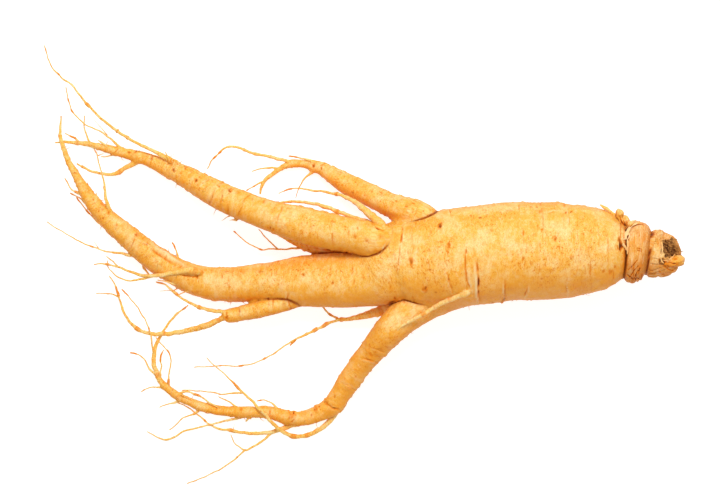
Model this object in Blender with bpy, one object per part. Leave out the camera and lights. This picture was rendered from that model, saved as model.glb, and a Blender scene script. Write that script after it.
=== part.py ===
"""A fresh ginseng root lying on its side, grown as one piece.

The torso runs along X with its neck towards +X. The legs, the arms and the fine roots trail towards -X.
The origin is the middle of the flat spot under the torso, where the root rests. +Z is up.
"""

import math

import bmesh
import bpy
import numpy as np
from mathutils import Vector

# Driving dimensions, in metres.
ROOT_LENGTH = 0.214
TORSO_RADIUS = 0.0165
THINNEST_RADIUS = 0.0003

# The stations below are drawn in millimetres, for a root of this length with a torso of this radius.
DRAWN_LENGTH = 214.0
DRAWN_TORSO_RADIUS = 16.5
PLACE = ROOT_LENGTH / DRAWN_LENGTH
GIRTH = TORSO_RADIUS / DRAWN_TORSO_RADIUS

# Rings stand this far apart: a share of the limb's radius, plus a little.
RING_STEP_SHARE = 0.2
RING_STEP_LEAST = 0.0022
ROOTLET_STEP = 0.0029
ROOTLET_SIDES = 4
THICK_ROOTLET_SIDES = 5
THICK_ROOTLET_RADIUS = 0.00085

# How far a tip reaches past its last ring, and how much the thick limbs swell and pinch.
TIP_REACH = 0.5
SWELL = 0.022
SWELL_WAVES = 3
SWELL_PITCH = 0.021
FLOOR_BLOCK = 0.5
SKIN_COLOUR = (0.86, 0.55, 0.22, 1.0)
SKIN_ROUGHNESS = 0.5

# Each station is (x, y, height, radius). A limb's first station is sunk in what it grows from.
TRUNK = [
    (39.2, 1.0, 15.4, 5.0), (38.3, 0.95, 15.4, 7.9), (36.4, 0.9, 15.5, 10.2), (33.4, 0.9, 15.6, 12.3),
    (29.0, 0.9, 15.7, 13.8), (24.0, 0.9, 15.8, 14.9), (18.0, 0.6, 15.9, 15.8), (10.0, 0.6, 16.0, 16.3),
    (0.0, 0.5, 16.1, 16.5), (-10.0, -0.4, 16.1, 16.5), (-18.0, -1.0, 16.0, 16.2), (-25.0, -1.9, 15.7, 15.4),
    (-31.0, -2.8, 15.3, 14.3), (-34.4, -3.2, 15.0, 13.6),
    (-37.6, -3.9, 14.6, 12.6), (-40.6, -5.0, 14.3, 12.1), (-43.8, -6.4, 13.9, 11.4),
    (-47.0, -7.6, 13.6, 10.2), (-52.0, -8.6, 13.2, 9.4), (-60.0, -9.0, 12.2, 9.0), (-68.0, -9.4, 11.0, 8.5),
    (-76.0, -9.8, 9.6, 7.3), (-84.0, -10.0, 8.0, 6.3), (-92.0, -10.6, 6.5, 5.85), (-98.0, -10.4, 5.6, 5.55),
    (-104.0, -9.2, 5.1, 5.2), (-109.0, -7.5, 4.8, 4.85), (-114.0, -4.8, 4.8, 4.55), (-119.0, -1.5, 5.2, 4.35),
    (-124.0, 2.5, 5.8, 4.0), (-128.5, 6.5, 6.4, 3.6), (-133.0, 10.4, 6.9, 3.3), (-137.3, 14.6, 7.2, 2.85),
    (-141.0, 19.4, 7.3, 2.3), (-143.2, 23.3, 7.2, 1.75), (-145.5, 27.2, 6.9, 1.4), (-147.5, 31.0, 6.5, 1.05),
    (-149.0, 35.0, 6.0, 0.8), (-149.9, 38.5, 5.5, 0.6), (-150.1, 42.0, 4.8, 0.4), (-149.9, 46.0, 4.2, 0.3),
]
UPPER_LEG = [
    (-37.6, 4.0, 15.8, 4.6), (-40.8, 4.2, 16.4, 5.3), (-42.6, 4.2, 18.4, 5.0), (-43.8, 4.1, 20.4, 5.3),
    (-45.4, 4.2, 21.3, 5.65), (-47.4, 4.6, 21.4, 5.8), (-50.0, 5.2, 21.2, 5.8), (-53.6, 5.9, 20.9, 5.8),
    (-59.0, 7.0, 20.5, 6.05),
    (-65.0, 8.2, 19.7, 6.1), (-71.0, 9.8, 18.2, 5.95),
    (-77.0, 11.4, 16.2, 5.45), (-83.0, 13.4, 13.9, 5.05), (-89.0, 15.8, 11.6, 4.85), (-95.0, 18.4, 9.3, 4.75),
    (-100.0, 20.9, 7.4, 4.45), (-105.0, 23.8, 5.6, 3.9), (-110.0, 26.5, 4.0, 3.35), (-115.0, 28.6, 2.8, 2.85),
    (-120.0, 30.9, 2.3, 2.35), (-125.0, 32.4, 2.3, 2.05), (-130.0, 33.7, 2.5, 1.55), (-135.0, 35.0, 2.8, 1.2),
    (-140.0, 36.2, 3.0, 0.95), (-145.0, 37.0, 3.0, 0.65), (-149.5, 37.0, 2.8, 0.45), (-152.2, 36.8, 2.6, 0.3),
]
LOWER_ARM = [
    (-17.0, -7.0, 13.6, 7.6), (-23.0, -11.5, 13.8, 8.0), (-28.5, -15.8, 12.2, 6.9), (-33.7, -19.6, 15.0, 6.1),
    (-38.5, -24.0, 16.6, 5.35), (-43.0, -29.0, 13.8, 4.75), (-46.5, -33.3, 11.2, 4.2), (-50.2, -38.0, 8.5, 3.95),
    (-53.8, -43.0, 6.2, 3.8), (-57.0, -47.8, 4.4, 3.5), (-59.6, -51.2, 3.4, 3.35), (-63.0, -53.2, 2.85, 2.9),
    (-67.0, -54.8, 2.65, 2.65), (-71.0, -55.4, 2.6, 2.35), (-75.0, -54.9, 2.6, 2.35), (-80.0, -53.4, 2.5, 2.05),
    (-85.0, -53.2, 2.4, 1.8), (-90.0, -53.2, 2.3, 1.75), (-95.0, -53.0, 2.2, 1.75), (-100.0, -52.2, 2.2, 1.7),
    (-104.0, -51.2, 2.2, 1.6), (-107.0, -49.8, 2.3, 1.4), (-110.0, -48.5, 2.5, 1.3), (-113.0, -46.6, 2.7, 1.2),
    (-115.6, -44.3, 2.8, 1.1), (-117.5, -41.5, 2.8, 0.9), (-118.8, -38.0, 2.6, 0.75), (-119.0, -34.0, 2.2, 0.7),
    (-118.3, -31.0, 1.7, 0.6), (-117.0, -28.3, 1.2, 0.5), (-115.0, -24.7, 1.1, 0.4), (-111.5, -20.5, 1.4, 0.35),
    (-107.5, -17.4, 2.0, 0.3),
]
UPPER_ARM = [
    (-25.0, 9.6, 15.6, 2.8), (-27.0, 10.8, 16.7, 4.0), (-29.2, 11.8, 17.1, 4.55), (-31.5, 12.7, 16.7, 4.7),
    (-35.0, 14.0, 15.4, 4.4), (-40.0, 16.0, 13.2, 4.0), (-45.0, 18.3, 11.0, 3.85), (-50.0, 20.8, 8.6, 3.75),
    (-55.0, 23.4, 6.2, 3.45), (-60.0, 26.6, 3.8, 2.6), (-63.5, 28.5, 2.2, 2.05), (-65.6, 29.1, 2.0, 2.0),
    (-67.0, 29.5, 2.1, 1.45), (-69.5, 29.9, 2.2, 1.25), (-72.0, 29.9, 2.3, 1.2), (-75.0, 29.1, 2.3, 1.0),
    (-77.5, 27.8, 2.2, 0.85), (-80.0, 25.8, 2.2, 0.7), (-82.0, 24.0, 2.3, 0.62), (-83.0, 22.0, 2.4, 0.5),
    (-83.6, 19.8, 2.5, 0.5),
]
FOOT_BRANCH = [
    (-68.0, -12.0, 11.0, 2.6), (-72.0, -15.2, 11.8, 3.1), (-76.0, -16.9, 12.0, 2.9), (-80.0, -18.0, 11.6, 2.9),
    (-85.0, -19.1, 10.8, 2.8), (-90.0, -20.2, 9.8, 2.4), (-93.7, -21.1, 8.9, 2.2), (-95.2, -21.6, 8.5, 1.3),
    (-100.0, -23.7, 7.3, 1.1), (-105.0, -25.3, 5.9, 1.0), (-110.0, -26.4, 4.7, 0.85), (-115.0, -27.0, 3.8, 0.75),
    (-120.0, -26.9, 3.1, 0.65), (-124.0, -25.7, 2.7, 0.6), (-127.0, -23.0, 2.4, 0.5), (-129.0, -19.8, 2.2, 0.45),
    (-130.0, -17.0, 2.0, 0.38), (-130.7, -14.2, 1.9, 0.33), (-132.5, -10.0, 1.3, 0.3), (-134.0, -7.5, 0.9, 0.3),
]
HIDDEN_LIMB = [
    (-42.0, -1.2, 13.4, 4.4), (-47.0, 1.2, 13.8, 4.7), (-51.5, 1.0, 11.9, 4.2), (-56.0, 1.0, 10.8, 3.9), (-62.0, 1.6, 9.4, 3.2),
    (-67.0, 2.2, 7.9, 2.1), (-72.0, 4.0, 6.4, 1.3), (-77.0, 6.4, 5.0, 0.8), (-83.0, 10.0, 3.6, 0.5),
    (-88.0, 13.5, 2.6, 0.35),
]
NECK = [
    (34.0, 0.3, 15.4, 6.0), (37.4, 0.3, 15.4, 6.4), (38.2, 0.3, 15.4, 8.6), (39.4, 0.3, 15.4, 9.9),
    (41.0, 0.3, 15.4, 10.2), (42.8, 0.3, 15.4, 9.9), (44.4, 0.3, 15.4, 9.0), (45.5, 0.3, 15.4, 7.5),
    (46.1, 0.3, 15.4, 6.8), (46.9, 0.2, 15.5, 7.4), (48.6, 0.1, 15.7, 7.8), (50.6, 0.2, 16.0, 7.6),
    (52.6, 0.6, 16.4, 6.7), (54.4, 1.1, 16.8, 5.4), (55.6, 1.2, 17.0, 3.9),
]
BUD = [(38.4, 7.8, 18.4, 1.7), (37.7, 10.2, 19.2, 1.5), (37.0, 12.2, 19.7, 1.4), (36.3, 13.4, 20.1, 1.4)]
SPROUT = [(51.0, -3.0, 19.6, 2.3), (53.6, -2.9, 19.8, 2.2), (55.6, -2.5, 18.9, 1.8), (56.8, -2.3, 18.2, 1.4)]

# Name, sides round, stations.
LIMBS = [
    ("upper_leg", 14, UPPER_LEG), ("lower_arm", 10, LOWER_ARM), ("upper_arm", 10, UPPER_ARM),
    ("foot_branch", 7, FOOT_BRANCH), ("hidden_limb", 8, HIDDEN_LIMB), ("neck", 16, NECK),
    ("bud", 7, BUD), ("sprout", 8, SPROUT),
]
TRUNK_SIDES = 22

ROOTLETS = {
    "armpit_twig": [
        (-41.9, 8.2, 20.4, 1.3), (-43.0, 9.4, 21.0, 1.5), (-45.0, 11.3, 20.4, 1.45), (-47.3, 13.4, 18.4, 1.25),
        (-50.0, 15.5, 15.6, 1.05), (-52.5, 17.5, 14.4, 0.8), (-55.0, 18.8, 13.2, 0.6), (-58.0, 19.6, 12.0, 0.5),
        (-62.0, 20.3, 10.4, 0.42), (-66.0, 20.9, 9.0, 0.35), (-70.5, 21.7, 7.8, 0.3), (-73.0, 21.5, 7.0, 0.3),
        (-77.0, 19.8, 5.8, 0.3),
    ],
    "leg_strand": [
        (-42.0, 7.0, 15.0, 0.8), (-46.0, 9.8, 15.5, 0.75), (-50.0, 11.2, 15.8, 0.7), (-54.0, 12.5, 15.6, 0.65),
        (-57.5, 13.6, 15.2, 0.7), (-61.0, 15.2, 14.4, 0.7), (-64.5, 16.3, 13.5, 0.6), (-68.0, 16.9, 12.6, 0.55),
        (-72.0, 17.1, 11.6, 0.45), (-76.0, 16.9, 10.6, 0.35), (-80.0, 16.4, 9.4, 0.3),
    ],
    "hand_long": [
        (-71.0, 29.9, 2.5, 0.8), (-73.5, 30.5, 2.8, 0.65), (-76.0, 31.2, 3.0, 0.6), (-80.0, 32.1, 3.2, 0.5),
        (-84.0, 33.0, 3.3, 0.48), (-87.0, 33.8, 3.2, 0.45), (-90.0, 35.0, 3.0, 0.4), (-92.8, 35.7, 2.8, 0.4),
        (-95.0, 35.3, 2.5, 0.35), (-96.6, 34.0, 2.2, 0.3), (-98.4, 32.3, 1.8, 0.3), (-100.0, 30.2, 1.4, 0.3),
        (-101.2, 28.2, 1.1, 0.3),
    ],
    "hand_side": [(-77.0, 28.0, 2.3, 0.4), (-79.5, 28.6, 2.6, 0.35), (-83.0, 28.2, 2.6, 0.3), (-86.3, 27.4, 2.2, 0.3)],
    "hand_low": [(-81.7, 24.2, 2.3, 0.4), (-84.0, 23.3, 2.4, 0.3), (-88.2, 21.0, 1.8, 0.3)],
    "wrist_down": [
        (-65.4, 28.0, 2.4, 0.7), (-66.3, 26.8, 2.5, 0.5), (-68.0, 25.5, 2.3, 0.35), (-69.4, 23.8, 1.9, 0.3),
        (-70.4, 21.8, 1.4, 0.3),
    ],
    "wrist_dry": [(-64.5, 30.0, 3.2, 0.5), (-67.0, 31.1, 3.5, 0.4), (-70.0, 31.8, 3.5, 0.3), (-74.0, 32.4, 3.2, 0.3)],
    "hidden_hair": [
        (-66.5, 2.0, 7.6, 0.6), (-69.5, 1.7, 6.8, 0.4), (-72.5, 1.5, 6.0, 0.35), (-75.5, 1.1, 5.4, 0.3),
        (-79.0, 1.4, 4.8, 0.3), (-83.0, 1.1, 4.0, 0.3), (-85.5, 2.3, 3.4, 0.3), (-89.0, 4.5, 2.6, 0.3),
        (-92.2, 7.2, 1.8, 0.3),
    ],
    "hidden_fork": [(-77.5, 1.3, 5.0, 0.3), (-80.0, 3.6, 4.8, 0.3), (-83.8, 7.8, 3.6, 0.3)],
    "foot_side": [(-130.6, -14.8, 1.9, 0.3), (-132.4, -14.0, 1.9, 0.3), (-135.0, -13.6, 1.8, 0.3), (-138.5, -13.6, 1.4, 0.3)],
    "foot_upper": [
        (-93.0, -20.3, 9.6, 1.0), (-96.0, -19.6, 9.4, 0.7), (-99.0, -19.3, 9.0, 0.6), (-102.0, -18.6, 8.5, 0.55),
        (-105.0, -17.5, 7.9, 0.48), (-108.0, -16.1, 7.3, 0.4), (-111.0, -14.0, 6.6, 0.33), (-113.3, -12.0, 6.0, 0.38),
        (-115.5, -10.6, 5.5, 0.3), (-118.0, -9.8, 5.0, 0.3),
    ],
    "cross_hair": [
        (-119.0, -34.0, 2.3, 0.35), (-119.5, -31.0, 3.6, 0.3), (-119.9, -27.6, 4.6, 0.3), (-121.3, -23.6, 4.4, 0.3),
        (-123.4, -19.8, 3.6, 0.3), (-126.2, -16.0, 2.6, 0.3), (-129.9, -12.0, 1.4, 0.3),
    ],
    "bow_hair": [
        (-114.0, -45.2, 2.9, 0.4), (-114.1, -42.5, 3.8, 0.3), (-113.7, -39.0, 4.1, 0.3), (-113.1, -36.0, 4.1, 0.3),
        (-113.7, -33.6, 4.1, 0.3), (-115.6, -31.2, 4.3, 0.3), (-118.4, -28.2, 4.9, 0.3),
    ],
    "sling": [
        (-57.8, -51.0, 3.0, 1.2), (-58.3, -53.6, 2.2, 0.95), (-60.3, -56.5, 1.6, 0.88), (-63.8, -59.3, 1.3, 0.8),
        (-68.0, -61.0, 1.4, 0.75), (-72.0, -61.2, 1.8, 0.7), (-75.0, -60.2, 2.6, 0.65), (-77.2, -58.7, 3.8, 0.62),
        (-79.3, -56.8, 5.0, 0.58), (-81.2, -54.4, 5.7, 0.55), (-83.6, -51.9, 5.7, 0.5), (-86.5, -49.1, 5.0, 0.42),
        (-89.0, -46.8, 4.2, 0.36), (-92.5, -43.1, 3.4, 0.3), (-96.0, -39.9, 2.8, 0.3), (-99.0, -37.4, 2.2, 0.3),
        (-101.3, -35.0, 1.6, 0.3),
    ],
    "sling_hair": [
        (-89.3, -46.7, 4.1, 0.35), (-93.0, -47.0, 3.6, 0.3), (-97.0, -47.1, 3.2, 0.3), (-100.5, -46.5, 3.1, 0.3),
        (-104.5, -46.1, 3.4, 0.3), (-109.5, -45.9, 3.6, 0.3),
    ],
    "under_fork": [
        (-69.5, -56.0, 2.4, 1.5), (-72.0, -57.0, 1.9, 1.3), (-74.5, -58.1, 1.4, 0.98), (-77.5, -59.3, 1.1, 0.78),
        (-80.5, -60.1, 0.9, 0.65), (-85.0, -60.4, 0.8, 0.6), (-90.0, -60.0, 0.75, 0.5), (-94.0, -59.4, 0.7, 0.42),
        (-97.7, -58.6, 0.7, 0.36), (-100.6, -57.2, 0.7, 0.32), (-103.2, -54.9, 0.8, 0.3), (-106.0, -52.8, 0.9, 0.3),
        (-109.0, -51.0, 0.9, 0.3), (-111.5, -49.9, 0.9, 0.3),
    ],
    "low_loop": [
        (-79.3, -59.8, 0.9, 0.5), (-81.0, -61.5, 0.8, 0.42), (-83.2, -63.3, 0.8, 0.4), (-86.0, -64.9, 0.7, 0.34),
        (-88.5, -66.0, 0.7, 0.32), (-90.6, -65.0, 0.9, 0.3), (-92.1, -63.5, 1.1, 0.3), (-93.2, -60.8, 1.6, 0.3),
    ],
    "low_tail": [
        (-88.3, -65.8, 0.7, 0.32), (-90.8, -68.0, 0.7, 0.3), (-93.2, -70.0, 0.7, 0.3), (-96.5, -72.2, 0.6, 0.3),
        (-100.0, -74.0, 0.6, 0.3), (-103.5, -75.6, 0.5, 0.3), (-108.0, -77.3, 0.5, 0.3),
    ],
    "far_tail": [
        (-88.5, -54.0, 1.8, 0.7), (-91.0, -55.3, 1.4, 0.42), (-94.0, -56.0, 1.3, 0.36), (-97.0, -56.7, 1.4, 0.32),
        (-100.0, -57.4, 1.7, 0.3), (-103.0, -58.1, 1.4, 0.3), (-107.0, -59.0, 1.0, 0.3), (-110.0, -60.2, 0.8, 0.3),
        (-112.3, -61.6, 0.7, 0.32), (-114.3, -62.5, 0.7, 0.38), (-116.2, -62.2, 0.8, 0.3), (-118.5, -61.2, 0.8, 0.3),
        (-121.5, -60.0, 0.7, 0.3),
    ],
    "heel_hair": [
        (-103.5, -52.2, 1.9, 0.45), (-105.2, -53.7, 2.0, 0.32), (-107.2, -54.4, 1.9, 0.3), (-109.0, -55.0, 1.6, 0.3),
        (-111.0, -57.0, 1.1, 0.3), (-113.9, -59.4, 0.6, 0.3),
    ],
    "toe_1": [(-109.6, -48.9, 2.4, 0.5), (-112.0, -50.1, 2.0, 0.35), (-113.8, -50.5, 1.7, 0.3), (-117.0, -51.6, 0.9, 0.3)],
    "toe_2": [(-115.2, -45.0, 2.6, 0.4), (-118.0, -45.0, 2.4, 0.3), (-120.7, -45.1, 2.0, 0.3), (-123.3, -46.4, 1.4, 0.3)],
    "toe_3": [
        (-118.0, -40.8, 2.7, 0.5), (-120.2, -39.1, 2.6, 0.36), (-121.4, -37.0, 2.5, 0.3), (-122.4, -35.3, 2.3, 0.3),
        (-124.0, -34.1, 2.0, 0.3), (-127.0, -33.4, 1.4, 0.3),
    ],
    "toe_4": [
        (-116.9, -42.2, 3.0, 0.5), (-116.8, -39.4, 3.6, 0.3), (-116.3, -37.7, 3.7, 0.3), (-116.9, -35.6, 3.8, 0.3),
        (-115.8, -32.3, 3.2, 0.3),
    ],
    "draped_hair": [
        (-111.0, -47.2, 3.2, 0.4), (-108.2, -46.4, 4.2, 0.3), (-105.2, -47.2, 4.2, 0.3), (-102.5, -48.6, 4.1, 0.3),
        (-100.5, -50.0, 3.9, 0.3), (-97.0, -51.9, 3.6, 0.35),
    ],
    "shin_hair": [(-91.0, -52.1, 3.2, 0.4), (-93.0, -50.2, 3.1, 0.3), (-95.2, -49.1, 2.7, 0.3), (-97.5, -48.0, 2.0, 0.3)],
    "knee_hair": [
        (-76.5, -53.8, 3.6, 0.6), (-78.3, -51.3, 3.8, 0.4), (-80.3, -49.9, 3.5, 0.3), (-82.0, -49.2, 3.1, 0.3),
        (-84.5, -49.5, 2.6, 0.3),
    ],
    "ankle_spur": [(-86.5, -54.2, 2.2, 0.5), (-88.3, -56.6, 1.6, 0.3)],
    "gap_root": [
        (-35.0, -14.0, 10.2, 2.4), (-39.5, -17.6, 9.4, 2.3), (-44.0, -19.6, 8.4, 1.75), (-49.0, -21.0, 7.4, 1.15),
        (-53.5, -22.0, 6.6, 0.72), (-57.0, -22.4, 6.0, 0.55), (-60.3, -23.3, 5.4, 0.45), (-63.8, -25.1, 4.8, 0.42),
        (-67.2, -26.8, 4.3, 0.4), (-70.5, -28.3, 3.9, 0.36), (-75.0, -31.0, 3.2, 0.3), (-79.2, -33.9, 2.6, 0.3),
        (-83.4, -36.2, 2.1, 0.3), (-88.0, -37.5, 1.7, 0.3), (-92.5, -37.9, 1.4, 0.3), (-97.5, -37.7, 1.1, 0.3),
        (-101.5, -38.1, 0.9, 0.3), (-105.5, -38.3, 0.8, 0.3),
    ],
    "gap_link": [(-62.9, -16.6, 9.5, 0.45), (-61.5, -19.2, 7.6, 0.3), (-59.3, -21.0, 6.6, 0.3), (-56.8, -22.3, 6.0, 0.35)],
    "gap_spur": [(-71.0, -28.5, 3.8, 0.3), (-73.3, -30.9, 3.6, 0.3)],
    "torso_root": [
        (-13.2, -11.8, 25.6, 1.3), (-15.0, -13.3, 26.8, 1.0), (-18.0, -14.4, 26.1, 0.8), (-22.0, -16.1, 24.8, 0.75),
        (-26.0, -18.3, 24.0, 0.68), (-30.0, -20.7, 24.0, 0.6), (-34.0, -22.9, 23.0, 0.5), (-37.2, -25.0, 21.8, 0.36),
        (-39.0, -27.6, 20.2, 0.3), (-40.3, -30.0, 18.2, 0.3), (-41.6, -33.2, 15.4, 0.3),
    ],
    "long_whip": [
        (-111.0, 29.2, 5.2, 1.2), (-113.5, 31.1, 5.6, 0.95), (-116.0, 32.4, 5.8, 0.8), (-119.0, 34.0, 6.0, 0.6),
        (-122.5, 35.6, 6.4, 0.55), (-126.0, 37.5, 6.8, 0.5), (-130.0, 40.0, 7.1, 0.48), (-134.0, 43.0, 7.2, 0.45),
        (-138.0, 46.4, 7.0, 0.42), (-141.0, 49.5, 6.6, 0.4), (-143.5, 52.6, 6.2, 0.36), (-146.0, 55.8, 5.8, 0.34),
        (-149.0, 58.1, 5.2, 0.3), (-151.6, 60.4, 4.6, 0.3), (-153.6, 63.2, 4.0, 0.3), (-154.8, 66.3, 3.4, 0.3),
        (-155.6, 69.6, 2.8, 0.3),
    ],
    "thin_whip": [
        (-129.5, 34.6, 3.2, 0.6), (-132.0, 36.8, 3.8, 0.4), (-134.0, 38.6, 4.1, 0.32), (-136.5, 40.4, 4.2, 0.3),
        (-139.0, 41.6, 4.0, 0.3), (-141.3, 42.7, 3.8, 0.3), (-144.0, 44.8, 3.5, 0.3), (-146.0, 47.0, 3.1, 0.3),
        (-147.3, 50.3, 2.6, 0.3), (-148.5, 55.5, 1.8, 0.3),
    ],
    "tip_twig": [
        (-140.3, 36.4, 3.3, 0.5), (-141.1, 38.6, 3.3, 0.32), (-142.1, 41.0, 2.8, 0.3), (-142.4, 43.5, 2.3, 0.3),
        (-142.3, 45.8, 2.0, 0.3),
    ],
    "tip_hair": [(-143.8, 36.9, 3.2, 0.4), (-145.2, 38.4, 3.3, 0.3), (-147.2, 39.4, 2.9, 0.3), (-148.6, 39.9, 2.5, 0.3)],
    "tip_spur": [(-133.6, 34.7, 3.4, 0.5), (-135.6, 36.4, 4.1, 0.35), (-137.6, 37.6, 4.4, 0.3)],
    "hoop": [
        (-124.5, 31.0, 2.4, 1.2), (-126.3, 29.6, 2.0, 0.9), (-128.2, 28.8, 1.8, 0.8), (-130.2, 27.5, 1.6, 0.68),
        (-132.0, 26.5, 1.5, 0.58), (-134.5, 26.2, 1.6, 0.52), (-137.0, 26.6, 1.9, 0.48), (-140.0, 27.3, 2.3, 0.42),
        (-142.5, 28.4, 3.0, 0.4), (-144.6, 29.8, 3.9, 0.4),
    ],
    "riser": [
        (-133.2, 13.0, 8.5, 1.0), (-134.1, 16.0, 9.6, 0.65), (-134.9, 18.6, 9.4, 0.5), (-135.1, 21.2, 8.7, 0.42),
        (-135.6, 24.0, 7.6, 0.32), (-136.3, 27.0, 6.2, 0.3), (-137.1, 30.0, 4.8, 0.3), (-138.3, 33.6, 3.0, 0.3),
    ],
    "short_link": [(-131.8, 33.2, 2.0, 0.4), (-134.0, 32.5, 1.8, 0.3), (-136.6, 32.1, 2.0, 0.3)],
    "back_hair_1": [
        (-141.6, 18.9, 7.0, 0.6), (-144.0, 20.0, 6.8, 0.35), (-146.2, 21.0, 6.4, 0.3), (-147.6, 23.0, 6.0, 0.3),
        (-148.6, 25.1, 5.4, 0.3),
    ],
    "back_hair_2": [(-138.9, 15.4, 6.2, 0.6), (-141.2, 16.4, 5.6, 0.4), (-143.2, 17.8, 5.0, 0.3), (-147.0, 20.2, 3.8, 0.3)],
    "back_hair_3": [
        (-133.6, 9.2, 5.0, 0.5), (-136.5, 9.6, 4.2, 0.35), (-139.0, 11.6, 3.8, 0.3), (-141.2, 13.8, 3.5, 0.3),
        (-143.2, 16.2, 3.0, 0.3), (-145.0, 18.6, 2.4, 0.3),
    ],
    "side_whip": [
        (-124.6, 0.4, 5.5, 1.2), (-127.0, -0.7, 5.3, 0.7), (-129.5, -0.3, 4.9, 0.42), (-133.0, 0.1, 4.4, 0.32),
        (-136.5, 1.0, 3.8, 0.3), (-140.0, 2.2, 3.3, 0.3), (-143.0, 3.5, 3.0, 0.3), (-147.0, 5.6, 2.4, 0.3),
        (-151.0, 8.0, 1.8, 0.3), (-154.8, 10.4, 1.2, 0.3),
    ],
    "rider": [
        (-103.6, -6.3, 9.3, 1.5), (-105.6, -6.0, 10.2, 1.3), (-108.4, -5.9, 10.2, 1.0), (-111.0, -6.2, 9.8, 0.85),
        (-115.0, -7.0, 8.9, 0.72), (-118.5, -7.6, 8.0, 0.68), (-121.5, -7.6, 7.2, 0.55), (-124.0, -7.2, 6.6, 0.5),
        (-127.0, -6.1, 5.8, 0.42), (-130.0, -5.0, 5.0, 0.36), (-132.7, -4.2, 4.3, 0.3), (-136.5, -3.6, 3.4, 0.34),
        (-139.2, -3.8, 2.8, 0.3),
    ],
    "rider_fork": [
        (-120.0, -7.7, 7.4, 0.6), (-122.0, -8.5, 6.6, 0.45), (-124.5, -9.0, 5.8, 0.35), (-127.2, -9.3, 5.0, 0.3),
        (-130.0, -8.5, 4.2, 0.3), (-132.4, -6.9, 3.4, 0.3), (-134.2, -5.1, 2.6, 0.3), (-134.6, -2.6, 1.8, 0.3),
    ],
    "rider_hair": [(-130.6, -4.9, 4.8, 0.3), (-133.0, -2.5, 4.4, 0.3), (-134.8, -1.0, 3.8, 0.3)],
    "calf_hair_1": [(-99.6, -11.2, 9.6, 0.5), (-103.0, -12.2, 9.0, 0.35), (-106.0, -12.5, 8.0, 0.3), (-110.6, -13.8, 5.8, 0.3)],
    "calf_hair_2": [(-108.0, -10.2, 7.0, 0.5), (-111.0, -10.4, 7.3, 0.35), (-115.0, -9.6, 7.0, 0.3), (-117.6, -9.1, 6.5, 0.3)],
    "calf_hair_3": [(-121.4, -2.8, 4.6, 0.8), (-122.4, -4.6, 4.0, 0.5), (-121.4, -6.2, 3.4, 0.35), (-119.6, -7.8, 2.8, 0.3)],
    "stray_hair": [(-110.3, -3.6, 6.0, 0.4), (-111.2, 0.5, 6.2, 0.3), (-112.7, 3.6, 5.2, 0.3)],
    "neck_strand": [
        (38.2, 8.0, 19.6, 0.7), (36.7, 10.2, 19.3, 0.5), (35.1, 12.0, 18.7, 0.55), (33.4, 13.5, 18.2, 0.5),
        (31.6, 14.9, 17.8, 0.6), (29.9, 16.0, 17.4, 0.4),
    ],
}


def clear_scene():
    for item in list(bpy.data.objects):
        bpy.data.objects.remove(item)


def in_metres(stations):
    """The drawn stations at the root's real size, no thinner than the thinnest rootlet."""
    table = np.array(stations, float)
    table[:, :3] *= PLACE
    table[:, 3] = np.maximum(table[:, 3] * GIRTH, THINNEST_RADIUS)
    return table


def smooth_route(table, step_of):
    """Rings along a smooth curve through the stations. step_of gives the distance to the next ring from a radius."""
    spans = np.linalg.norm(np.diff(table[:, :3], axis=0), axis=1)
    slopes = np.diff(table, axis=0) / spans[:, None]
    tangents = np.empty_like(table)
    tangents[0], tangents[-1] = slopes[0], slopes[-1]
    for i in range(1, len(table) - 1):
        before, after = spans[i - 1], spans[i]
        tangents[i] = (slopes[i - 1] * after + slopes[i] * before) / (before + after)
    rings = []
    for i, span in enumerate(spans):
        steps = max(1, round(span / step_of(table[i, 3])))
        for k in range(steps):
            t = k / steps
            rings.append(
                (2 * t**3 - 3 * t**2 + 1) * table[i]
                + (t**3 - 2 * t**2 + t) * span * tangents[i]
                + (3 * t**2 - 2 * t**3) * table[i + 1]
                + (t**3 - t**2) * span * tangents[i + 1]
            )
    rings.append(table[-1])
    return np.array(rings)


def ring_frames(centres):
    """A pair of axes across the route at each ring, turning as little as possible from one ring to the next."""
    along = np.gradient(centres, axis=0)
    side = Vector((0.0, 0.0, 1.0))
    frames = []
    for direction in along:
        forward = Vector(direction).normalized()
        side = (side - forward * side.dot(forward)).normalized()
        frames.append((forward, side, forward.cross(side)))
    return frames


def swelling(arc, angle):
    """The lumps and pinches of a thick limb, as a factor on its radius."""
    slow = math.sin(arc / SWELL_PITCH + 2.0 * math.sin(angle))
    lobed = math.sin(SWELL_WAVES * angle + arc / (SWELL_PITCH * 0.6))
    return 1.0 + SWELL * (slow + 0.5 * lobed)


def swept_mesh(name, rings, sides, lumpy):
    """A closed tube round the rings, with a flat start and a rounded tip."""
    shape = bmesh.new()
    frames = ring_frames(rings[:, :3])
    arc = np.concatenate([[0.0], np.cumsum(np.linalg.norm(np.diff(rings[:, :3], axis=0), axis=1))])
    loops = []
    for ring, travelled, (_, side, across) in zip(rings, arc, frames):
        loop = []
        for k in range(sides):
            angle = 2 * math.pi * k / sides
            radius = ring[3] * (swelling(travelled, angle) if lumpy else 1.0)
            offset = side * math.cos(angle) * radius + across * math.sin(angle) * radius
            loop.append(shape.verts.new(Vector(ring[:3]) + offset))
        loops.append(loop)
    for first, second in zip(loops, loops[1:]):
        for k in range(sides):
            n = (k + 1) % sides
            shape.faces.new((first[k], first[n], second[n], second[k]))
    start = shape.verts.new(Vector(rings[0, :3]))
    tip = shape.verts.new(Vector(rings[-1, :3]) + frames[-1][0] * rings[-1, 3] * TIP_REACH)
    for k in range(sides):
        n = (k + 1) % sides
        shape.faces.new((start, loops[0][n], loops[0][k]))
        shape.faces.new((tip, loops[-1][k], loops[-1][n]))
    bmesh.ops.triangulate(shape, faces=shape.faces[:])
    mesh = bpy.data.meshes.new(name)
    shape.to_mesh(mesh)
    shape.free()
    return mesh


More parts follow.
